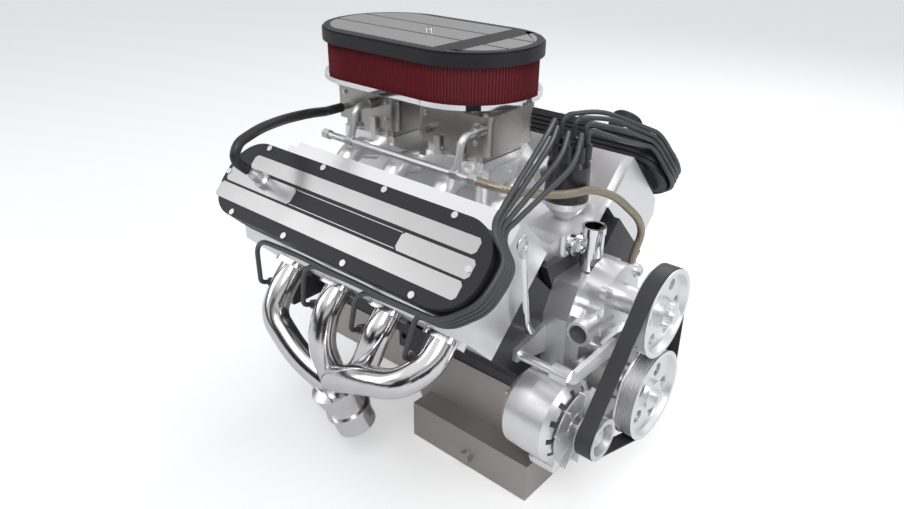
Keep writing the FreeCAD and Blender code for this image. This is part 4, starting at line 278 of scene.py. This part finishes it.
class Shape:
    """Gathers the faces of one new piece."""

    def __init__(self, name: str) -> None:
        """Args:
            name: The piece's name.
        """
        self.name, self.mesh = name, bmesh.new()

    def slab(self, ring: Sequence[Vector], lift: Vector) -> "Shape":
        """Adds a flat plate.

        Args:
            ring: The plate's outline in order.
            lift: Its thickness as a vector.

        Returns: This shape.
        """
        low = [self.mesh.verts.new(point) for point in ring]
        high = [self.mesh.verts.new(point + lift) for point in ring]
        self.mesh.faces.new(low)
        self.mesh.faces.new(high)
        for index, start in enumerate(low):
            after = (index + 1) % len(low)
            self.mesh.faces.new((start, low[after], high[after], high[index]))
        return self

    def block(self, low: Point, high: Point) -> "Shape":
        """Adds an upright box between two corners, millimetres. Returns: This shape."""
        ring = [Vector((x, y, low[2])) * MM for x,
                y in ((low[0], low[1]), (high[0], low[1]), (high[0], high[1]),
                                                         (low[0], high[1]))]
        return self.slab(ring, Vector((0, 0, high[2] - low[2])) * MM)

    def turned(self, profile: Sequence[Pair], foot: Vector, axis: Vector, sides: int = 32) -> "Shape":
        """Adds a turned form.

        Args:
            profile: Heights along the axis with radii, millimetres.
            foot: Where height 0 lies, metres.
            axis: The direction of the axis.
            sides: Faces round it.

        Returns: This shape.
        """
        turn = axis.normalized().to_track_quat("Z", "Y")
        rings = []
        for height, radius in profile:
            ring = []
            for step in range(sides):
                angle = 2 * math.pi * step / sides
                spot = Vector((radius * math.cos(angle), radius * math.sin(angle), height)) * MM
                ring.append(self.mesh.verts.new(foot + turn @ spot))
            rings.append(ring)
        for low, high in zip(rings, rings[1:]):
            for step, start in enumerate(low):
                after = (step + 1) % sides
                self.mesh.faces.new((start, low[after], high[after], high[step]))
        self.mesh.faces.new(rings[0])
        self.mesh.faces.new(rings[-1])
        return self

    def done(self, finish: "Finish", body: str = "engine",
             round_off: float = 0.0) -> bpy.types.Object:
        """Makes the object.

        Args:
            finish: Its finish.
            body: The body it rides on.
            round_off: Bevel width, metres.

        Returns: The piece.
        """
        bmesh.ops.recalc_face_normals(self.mesh, faces=self.mesh.faces)
        if round_off:
            sharp = [e for e in self.mesh.edges if len(e.link_faces) == 2 and e.calc_face_angle(0) > 0.9]
            bmesh.ops.bevel(self.mesh, geom=sharp, offset=round_off, segments=2, profile=0.5, affect="EDGES")
        data = bpy.data.meshes.new(self.name)
        self.mesh.to_mesh(data)
        self.mesh.free()
        return finished(data, self.name, finish, body)


def finished(data: bpy.types.Mesh, name: str, finish: "Finish", body: str) -> bpy.types.Object:
    """Makes a piece of a mesh, shades it and hands it to its body.

    Args:
        data: The mesh.
        name: The piece's name.
        finish: Its finish.
        body: The body it rides on.

    Returns: The piece.
    """
    made = bpy.data.objects.new(name, data)
    bpy.context.scene.collection.objects.link(made)
    data.materials.clear()
    data.materials.append(finish.material())
    data.shade_smooth()
    data.set_sharp_from_angle(angle=math.radians(32))
    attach(made, body)
    LOG.info("%s: %d faces", name, len(data.polygons))
    return made


@dataclass
class Repeats:
    """Copies of one small form, placed by Geometry Nodes.

    Attributes:
        name: The piece's name.
        form: The small form, its foot at the origin and standing along Z.
        finish: Its finish.
        slot: A material slot's name; not used.
        body: The body it rides on.
        seed: The fixed seed of the turns.
        spin: How far copies may turn about their own axis, radians.
    """

    name: str
    form: Shape
    finish: "Finish"
    slot: str
    body: str = "engine"
    seed: int = 4
    spin: float = 1.0
    spots: list[Vector] = field(default_factory=list)
    aims: list[Vector] = field(default_factory=list)

    def at(self, spot: Vector, aim: Vector) -> "Repeats":
        """Adds one copy. Args: spot, its foot in metres; aim, the way it stands. Returns: These repeats."""
        self.spots.append(spot)
        self.aims.append(aim)
        return self

    def build(self) -> bpy.types.Object:
        """Returns: The finished piece, as one plain mesh."""
        small = bpy.data.meshes.new(self.name + "_form")
        bmesh.ops.recalc_face_normals(self.form.mesh, faces=self.form.mesh.faces)
        self.form.mesh.to_mesh(small)
        self.form.mesh.free()
        form = bpy.data.objects.new(self.name + "_form", small)
        points = bpy.data.meshes.new(self.name + "_points")
        points.from_pydata(self.spots, [], [])
        aim = points.attributes.new("aim", "FLOAT_VECTOR", "POINT")
        aim.data.foreach_set("vector", [value for direction in self.aims for value in direction])
        carrier = bpy.data.objects.new(self.name + "_points", points)
        bpy.context.scene.collection.objects.link(carrier)
        tree, sockets = self._tree()
        modifier = carrier.modifiers.new("repeats", "NODES")
        modifier.node_group = tree
        modifier[sockets["Form"]] = form
        modifier[sockets["Finish"]] = self.finish.material()
        modifier[sockets["Seed"]] = self.seed
        modifier[sockets["Spin"]] = self.spin
        bpy.context.view_layer.update()
        graph = bpy.context.evaluated_depsgraph_get()
        plain = bpy.data.meshes.new_from_object(carrier.evaluated_get(graph))
        plain.name = self.name
        for thing in (carrier, form):
            bpy.data.objects.remove(thing)
        for left in list(plain.attributes):
            if left.name == "aim":
                plain.attributes.remove(left)
        return finished(plain, self.name, self.finish, self.body)

    def _tree(self) -> tuple[bpy.types.NodeTree, dict[str, str]]:
        """Returns: The node tree, and its inputs' identifiers by name."""
        tree = bpy.data.node_groups.new(self.name, "GeometryNodeTree")
        side = tree.interface
        side.new_socket("Geometry", in_out="INPUT", socket_type="NodeSocketGeometry")
        names = {"Form": "NodeSocketObject", "Finish": "NodeSocketMaterial", "Seed": "NodeSocketInt",
                 "Spin": "NodeSocketFloat"}
        sockets = {n: side.new_socket(n, in_out="INPUT", socket_type=kind).identifier for n,
                   kind in names.items()}
        side.new_socket("Geometry", in_out="OUTPUT", socket_type="NodeSocketGeometry")
        make, join = tree.nodes.new, tree.links.new
        start, end = make("NodeGroupInput"), make("NodeGroupOutput")
        info, aim = make("GeometryNodeObjectInfo"), make("GeometryNodeInputNamedAttribute")
        aim.data_type = "FLOAT_VECTOR"
        aim.inputs["Name"].default_value = "aim"
        align, stand = make("FunctionNodeAlignRotationToVector"), make("FunctionNodeAlignRotationToVector")
        align.axis = "Z"
        stand.axis, stand.pivot_axis = "X", "Z"
        stand.inputs["Vector"].default_value = (0, 0, 1)
        turn, chance, place = make("FunctionNodeRotateRotation"), make("FunctionNodeRandomValue"), \
            make("GeometryNodeInstanceOnPoints")
        turn.rotation_space = "LOCAL"
        axis = make("ShaderNodeCombineXYZ")
        real, paint = make("GeometryNodeRealizeInstances"), make("GeometryNodeSetMaterial")
        join(start.outputs["Form"], info.inputs["Object"])
        join(aim.outputs["Attribute"], align.inputs["Vector"])
        join(start.outputs["Seed"], chance.inputs["Seed"])
        join(start.outputs["Spin"], chance.inputs[3])
        join(chance.outputs[1], axis.inputs["Z"])
        join(align.outputs["Rotation"], stand.inputs["Rotation"])
        join(stand.outputs["Rotation"], turn.inputs["Rotation"])
        join(axis.outputs[0], turn.inputs["Rotate By"])
        join(start.outputs["Geometry"], place.inputs["Points"])
        join(info.outputs["Geometry"], place.inputs["Instance"])
        join(turn.outputs["Rotation"], place.inputs["Rotation"])
        join(place.outputs["Instances"], real.inputs["Geometry"])
        join(real.outputs["Geometry"], paint.inputs["Geometry"])
        join(start.outputs["Finish"], paint.inputs["Material"])
        join(paint.outputs["Geometry"], end.inputs["Geometry"])
        return tree, sockets


def bolt(size: float) -> Shape:
    """Shapes a hexagon bolt head on its washer.

    Args:
        size: Half the width across flats, millimetres.

    Returns: The form, standing on the origin.
    """
    head = Shape("bolt")
    up, foot = Vector((0, 0, 1)), Vector((0, 0, 0))
    head.turned([(0, size * 1.5), (1.4, size * 1.5)], foot, up, 24)
    head.turned([(1.4, size * 1.15), (size * 1.1, size * 1.15), (size * 1.3, size * 0.9)], foot, up, 6)
    return head


@dataclass
class Covers:
    """Brushed stripes and frame lines on the valve covers.

    Attributes:
        top: Height of the covers' tops along the cylinders, millimetres.
        proud: How far the stripes stand out.
    """

    top: float = 403.3
    proud: float = 0.7
    bands: tuple[tuple[float, float, float, float], ...] = ((19, 43, 40, 514), (-14, 14, 2, 522),
                                                            (-45, -18, -3, 519))
    bare: Pair = (166, 392)

    def build(self) -> None:
        """Adds the stripes of both covers."""
        for bank in Bank:
            stripes = Shape("cover_stripes_%s" % bank.name.lower())
            for index, (low, high, rear, front) in enumerate(self.bands):
                runs = [(rear, self.bare[0]), (self.bare[1], front)] if index == 1 else [(rear, front)]
                for start, stop in runs:
                    self._stripe(stripes, bank, low, high, start, stop)
            stripes.done(STRIPE)
            lines = Shape("cover_frame_%s" % bank.name.lower())
            for across in (-1, 1):
                self._stripe(lines, bank, across * 12.6 - 0.6, across * 12.6 + 0.6, *self.bare)
            lines.done(STRIPE)

    def _stripe(self, shape: Shape, bank: Bank, low: float, high: float, start: float, stop: float) -> None:
        """Adds one stripe with clipped corners, in millimetres.

        Args:
            shape: The piece it joins.
            bank: The bank it lies on.
            low: Its edge away from the valley.
            high: Its edge towards the valley.
            start: Its rear end.
            stop: Its front end.
        """
        clip = min(5.0, (high - low) / 3)
        corners = [(start + clip, low), (stop - clip, low), (stop, low + clip), (stop, high - clip),
                   (stop - clip, high), (start + clip, high), (start, high - clip), (start, low + clip)]
        ring = [bank.place(along, across, self.top) for along, across in corners]
        shape.slab(ring, bank.place(0, 0, self.proud) - bank.place(0, 0, 0))


@dataclass
class AirCleaner:
    """Pleats of the filter, and the lid's stripes.

    Attributes:
        middle: The cleaner's middle along the crankshaft, millimetres.
        length: Its length.
        width: Its width.
        base: Height of the pan.
        lid: Height of the lid's underside.
        top: Height of the lid's top.
        filter_inset: How far the filter lies inside the lid's edge.
    """

    middle: float = 189
    length: float = 411
    width: float = 236
    base: float = 415
    lid: float = 478
    top: float = 500
    filter_inset: float = 12
    pitch: float = 5.2
    bands: tuple[Pair, ...] = ((-98, -36), (-30, 30), (36, 98))
    bare: Pair = (286, 330)

    def outline(self, inset: float, step: float) -> list[tuple[Pair, Pair]]:
        """Args:
            inset: Distance inside the lid's edge, millimetres.
            step: Spacing of the points.

        Returns: Points round the cleaner, each with its outward direction.
        """
        radius = self.width / 2 - inset
        straight = self.length - self.width
        found: list[tuple[Pair, Pair]] = []
        count, arcs = int(straight / step), int(math.pi * radius / step)
        for side in (-1, 1):
            for index in range(count):
                along = self.middle - straight / 2 + (index + 0.5) * straight / count
                found.append(((along, side * radius), (0.0, float(side))))
            for index in range(arcs):
                angle = math.pi * (index + 0.5) / arcs - math.pi / 2
                out_x, out_y = side * math.cos(angle), math.sin(angle)
                found.append(((self.middle + side * straight / 2 + radius * out_x, radius * out_y),
                              (out_x, out_y)))
        return found

    def build(self) -> None:
        """Adds the pleats and the stripes."""
        fin = Shape("pleat")
        tall = self.lid - self.base - 6
        ring = [Vector((0, -1.5, 0)) * MM, Vector((0, 1.5, 0)) * MM, Vector((0, 0, 4.2)) * MM]
        fin.slab(ring, Vector((tall, 0, 0)) * MM)
        pleats = Repeats("filter_pleats", fin, GAUZE, "red_filter", spin=0.0)
        for (along, across), (out_x, out_y) in self.outline(self.filter_inset - 0.4, self.pitch):
            pleats.at(Vector((along, across, self.base + 4)) * MM, Vector((out_x, out_y, 0)))
        pleats.build()
        stripes = Shape("lid_stripes")
        for low, high in self.bands:
            for start, stop in ((-1e3, self.bare[0]), (self.bare[1], 1e3)):
                self._stripe(stripes, low, high, start, stop)
        stripes.done(STRIPE)

    def _stripe(self, shape: Shape, low: float, high: float, start: float, stop: float) -> None:
        """Adds one stripe that follows the lid's rounded ends, in millimetres.

        Args:
            shape: The piece it joins.
            low: Its right edge.
            high: Its left edge.
            start: Its rear end, where the lid's end doesn't come first.
            stop: Its front end, likewise.
        """
        radius, straight = self.width / 2 - 14, self.length - self.width
        steps = [low + (high - low) * index / 8 for index in range(9)]
        reach = {across: straight / 2 + math.sqrt(max(radius ** 2 - across ** 2, 0)) for across in steps}
        near = [(max(start, self.middle - reach[across]), across) for across in steps]
        far = [(min(stop, self.middle + reach[across]), across) for across in reversed(steps)]
        ring = [Vector((along, across, self.top)) * MM for along, across in near + far]
        shape.slab(ring, Vector((0, 0, 0.7)) * MM)


@dataclass
class Fasteners:
    """Bolt heads over the castings and screws over the carburettors, all in millimetres.

    Attributes:
        pump_face: Front face of the water pump's bosses.
        pump_bosses: Across and up places of those bosses.
        outlet_face: Front face of the water outlet's flange.
        outlet_bolts: Half the spacing of its bolts.
        outlet_height: Height of its bolts.
        first_bore: Place along the crankshaft between the intake bolts of the first bore.
        bore_pitch: Spacing of the bores.
        head_bolt: Across and along-cylinder place of the intake bolts on a bank.
        head_bolt_steps: Their two places beside each bore.
        carburettors: Middles of the two carburettors.
        cover_rows: Screw places along a carburettor's cover.
        cover_half: Half the width between its screw rows.
        cover_top: Height of the cover screws.
        foot_half: Half the spacing of the studs of its foot.
        foot_top: Height of those studs' nuts.
        side_face: Outer face of the bowls.
        side_rows: Heights of the bowl screws.
    """

    pump_face: float = 586
    pump_bosses: tuple[Pair, ...] = ((-46, 176), (46, 176), (-60, 114), (60, 114))
    outlet_face: float = 514
    outlet_bolts: float = 28
    outlet_height: float = 222
    first_bore: float = 126
    bore_pitch: float = 111.25
    head_bolt: Pair = (66, 254)
    head_bolt_steps: Pair = (-26, 26)
    carburettors: Pair = (94, 290)
    cover_rows: tuple[float, ...] = (-66, -22, 22, 66)
    cover_half: float = 57
    cover_top: float = 401
    foot_half: float = 52
    foot_top: float = 336
    side_face: float = -62
    side_rows: Pair = (356, 384)

    def build(self) -> None:
        """Adds every row of bolts."""
        self._castings()
        self._carburettors()

    def _castings(self) -> None:
        """Adds the bolts of the water pump, the water outlet and the intake's flanges."""
        front = Vector((1, 0, 0))
        bolts = Repeats("casting_bolts", bolt(6.5), BRIGHT, "bright_steel")
        for across, height in self.pump_bosses:
            bolts.at(Vector((self.pump_face, across, height)) * MM, front)
        for side, bank in ((-1, Bank.RIGHT), (1, Bank.LEFT)):
            bolts.at(Vector((self.outlet_face, side * self.outlet_bolts, self.outlet_height)) * MM, front)
            aim = bank.place(0, 1, 0.2) - bank.place(0, 0, 0)
            for bore in range(4):
                for step in self.head_bolt_steps:
                    along = self.first_bore + self.bore_pitch * bore + step
                    bolts.at(bank.place(along, *self.head_bolt), aim)
        bolts.build()

    def _carburettors(self) -> None:
        """Adds the screws of the carburettors' covers, feet and bowls."""
        up, out = Vector((0, 0, 1)), Vector((0, -1, 0))
        screws = Repeats("carburettor_screws", bolt(3.4), BRIGHT, "bright_steel")
        for middle in self.carburettors:
            for along in self.cover_rows:
                for across in (-self.cover_half, self.cover_half):
                    screws.at(Vector((middle + along, across, self.cover_top)) * MM, up)
            for along in (-self.foot_half, self.foot_half):
                for across in (-self.foot_half, self.foot_half):
                    screws.at(Vector((middle + along, across, self.foot_top)) * MM, up)
                for height in self.side_rows:
                    screws.at(Vector((middle + along, self.side_face, height)) * MM, out)
        screws.build()


def main() -> None:
    """Builds every sub-assembly in order, then the studio."""
    logging.basicConfig(level=logging.INFO, format="%(message)s")
    for node, finish in NODE_FINISHES.items():
        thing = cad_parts[node]
        thing.data.materials.clear()
        thing.data.materials.append(finish.material())
    for assembly in (Covers(), AirCleaner(), Fasteners(), Studio()):
        assembly.build()


# ------------------------------------------------------------------ studio
@dataclass
class Studio:
    """Floor, world, lamps and the camera.

    Attributes:
        eye: The camera's place, metres.
        azimuth: Its heading round the engine, degrees.
        elevation: Its height, degrees.
        roll: Its roll, degrees.
        lens: Focal length for a 36 mm sensor.
    """

    eye: Point = (1.0365, -0.9257, 0.7269)
    azimuth: float = 40.6
    elevation: float = 27.03
    roll: float = 0.65
    lens: float = 29.64
    floor_z: float = -0.1905

    def build(self) -> None:
        """Makes the stage, the lamps and the camera."""
        scene = bpy.context.scene
        scene.view_settings.view_transform = "Standard"
        self._world(scene)
        self._floor()
        self._camera(scene)
        self._lamp("key", (1.6, -1.9, 2.4), 1.2, 34)
        self._lamp("fill", (-1.8, -2.0, 1.4), 1.6, 12)
        self._lamp("rim", (0.2, 2.4, 2.2), 1.4, 26)
        self._lamp("front", (2.6, 0.6, 1.0), 0.9, 12)
        self._flag("flag_front", (1.9, 0.9, 0.5), 1.1)
        self._flag("flag_side", (0.6, -2.3, 0.4), 1.2)
        self._flag("flag_low", (1.5, -1.2, 0.0), 0.7)

    def _world(self, scene: bpy.types.Scene) -> None:
        """A white surround, with a dark band near the horizon that only gloss sees."""
        world = bpy.data.worlds.new("surround")
        scene.world = world
        world.use_nodes = True
        world.node_tree.nodes.clear()
        graph = Graph(world.node_tree)
        rays = world.node_tree.nodes.new("ShaderNodeLightPath")
        camera, glossy = Sock(graph, rays.outputs["Is Camera Ray"]), Sock(graph, rays.outputs["Is Glossy Ray"])
        heading = graph.node("ShaderNodeTexCoord", output="Generated")
        split = world.node_tree.nodes.new("ShaderNodeSeparateXYZ")
        world.node_tree.links.new(heading.socket, split.inputs[0])
        height = Sock(graph, split.outputs["Z"])
        band = graph.node("ShaderNodeValToRGB", {"stops": [
            (0.0, (0.30, 0.30, 0.30)), (0.42, (0.16, 0.16, 0.16)), (0.50, (0.015, 0.015, 0.015)),
            (0.57, (0.04, 0.04, 0.04)), (0.62, (0.85, 0.85, 0.85)), (0.72, (0.30, 0.30, 0.30)),
            (0.80, (0.95, 0.95, 0.95)), (1.0, (0.9, 0.9, 0.9))]},
            {"Fac": height * 0.5 + 0.5})
        plain = graph.mix(glossy, (0.42, 0.43, 0.45, 1), band)
        colour = graph.mix(camera, plain, (1, 1, 1, 1))
        sky = graph.node("ShaderNodeBackground", inputs={"Color": colour, "Strength": 1.0})
        end = world.node_tree.nodes.new("ShaderNodeOutputWorld")
        world.node_tree.links.new(sky.socket, end.inputs["Surface"])

    def _floor(self) -> None:
        """A wide pale floor that takes the engine's shadow."""
        mesh = bpy.data.meshes.new("floor")
        reach = 30.0
        corners = [(-reach, -reach, self.floor_z), (reach, -reach, self.floor_z),
                   (reach, reach, self.floor_z), (-reach, reach, self.floor_z)]
        mesh.from_pydata(corners, [], [(0, 1, 2, 3)])
        floor = bpy.data.objects.new("floor", mesh)
        bpy.context.scene.collection.objects.link(floor)
        paint = bpy.data.materials.new("pale_floor")
        paint.use_nodes = True
        shader = paint.node_tree.nodes["Principled BSDF"]
        graph = Graph(paint.node_tree)
        rays = paint.node_tree.nodes.new("ShaderNodeLightPath")
        camera = Sock(graph, rays.outputs["Is Camera Ray"])
        shader.inputs["Base Color"].default_value = (0.9, 0.9, 0.9, 1)
        shader.inputs["Roughness"].default_value = 0.9
        shader.inputs["Emission Color"].default_value = (1, 1, 1, 1)
        paint.node_tree.links.new((camera * 0.32).socket, shader.inputs["Emission Strength"])
        mesh.materials.append(paint)

    def _camera(self, scene: bpy.types.Scene) -> None:
        """The camera, aimed by its heading, height and roll."""
        data = bpy.data.cameras.new("view")
        data.lens, data.sensor_width, data.clip_end = self.lens, 36.0, 100.0
        eye = bpy.data.objects.new("view", data)
        scene.collection.objects.link(eye)
        heading, height, roll = (math.radians(v) for v in (self.azimuth, self.elevation, self.roll))
        turn = (Matrix.Rotation(heading, 4, "Z") @ Matrix.Rotation(math.pi / 2 - height, 4, "X")
                @ Matrix.Rotation(roll, 4, "Z"))
        eye.matrix_world = Matrix.Translation(self.eye) @ turn
        scene.camera = eye

    def _flag(self, name: str, place: Point, size: float) -> None:
        """Adds a dark panel that only gloss sees, aimed at the engine.

        Args:
            name: The panel's name.
            place: Its middle, metres.
            size: Its side, metres.
        """
        half = size / 2
        mesh = bpy.data.meshes.new(name)
        mesh.from_pydata([(-half, -half, 0), (half, -half, 0), (half, half, 0), (-half, half, 0)], [],
                         [(0, 1, 2, 3)])
        paint = bpy.data.materials.new(name)
        paint.use_nodes = True
        shader = paint.node_tree.nodes["Principled BSDF"]
        shader.inputs["Base Color"].default_value = (0.004, 0.004, 0.004, 1)
        shader.inputs["Roughness"].default_value = 0.9
        mesh.materials.append(paint)
        panel = bpy.data.objects.new(name, mesh)
        bpy.context.scene.collection.objects.link(panel)
        aim = Vector((0.3, 0, 0.15)) - Vector(place)
        panel.matrix_world = Matrix.Translation(place) @ aim.to_track_quat("-Z", "Y").to_matrix().to_4x4()
        panel.visible_camera = panel.visible_diffuse = panel.visible_shadow = False

    def _lamp(self, name: str, place: Point, size: float, power: float) -> None:
        """Adds one soft lamp aimed at the middle of the engine."""
        data = bpy.data.lights.new(name, "AREA")
        data.size, data.energy = size, power
        lamp = bpy.data.objects.new(name, data)
        aim = Vector((0.3, 0, 0.15)) - Vector(place)
        lamp.matrix_world = Matrix.Translation(place) @ aim.to_track_quat("-Z", "Y").to_matrix().to_4x4()
        bpy.context.scene.collection.objects.link(lamp)


if __name__ == "__main__":
    main()
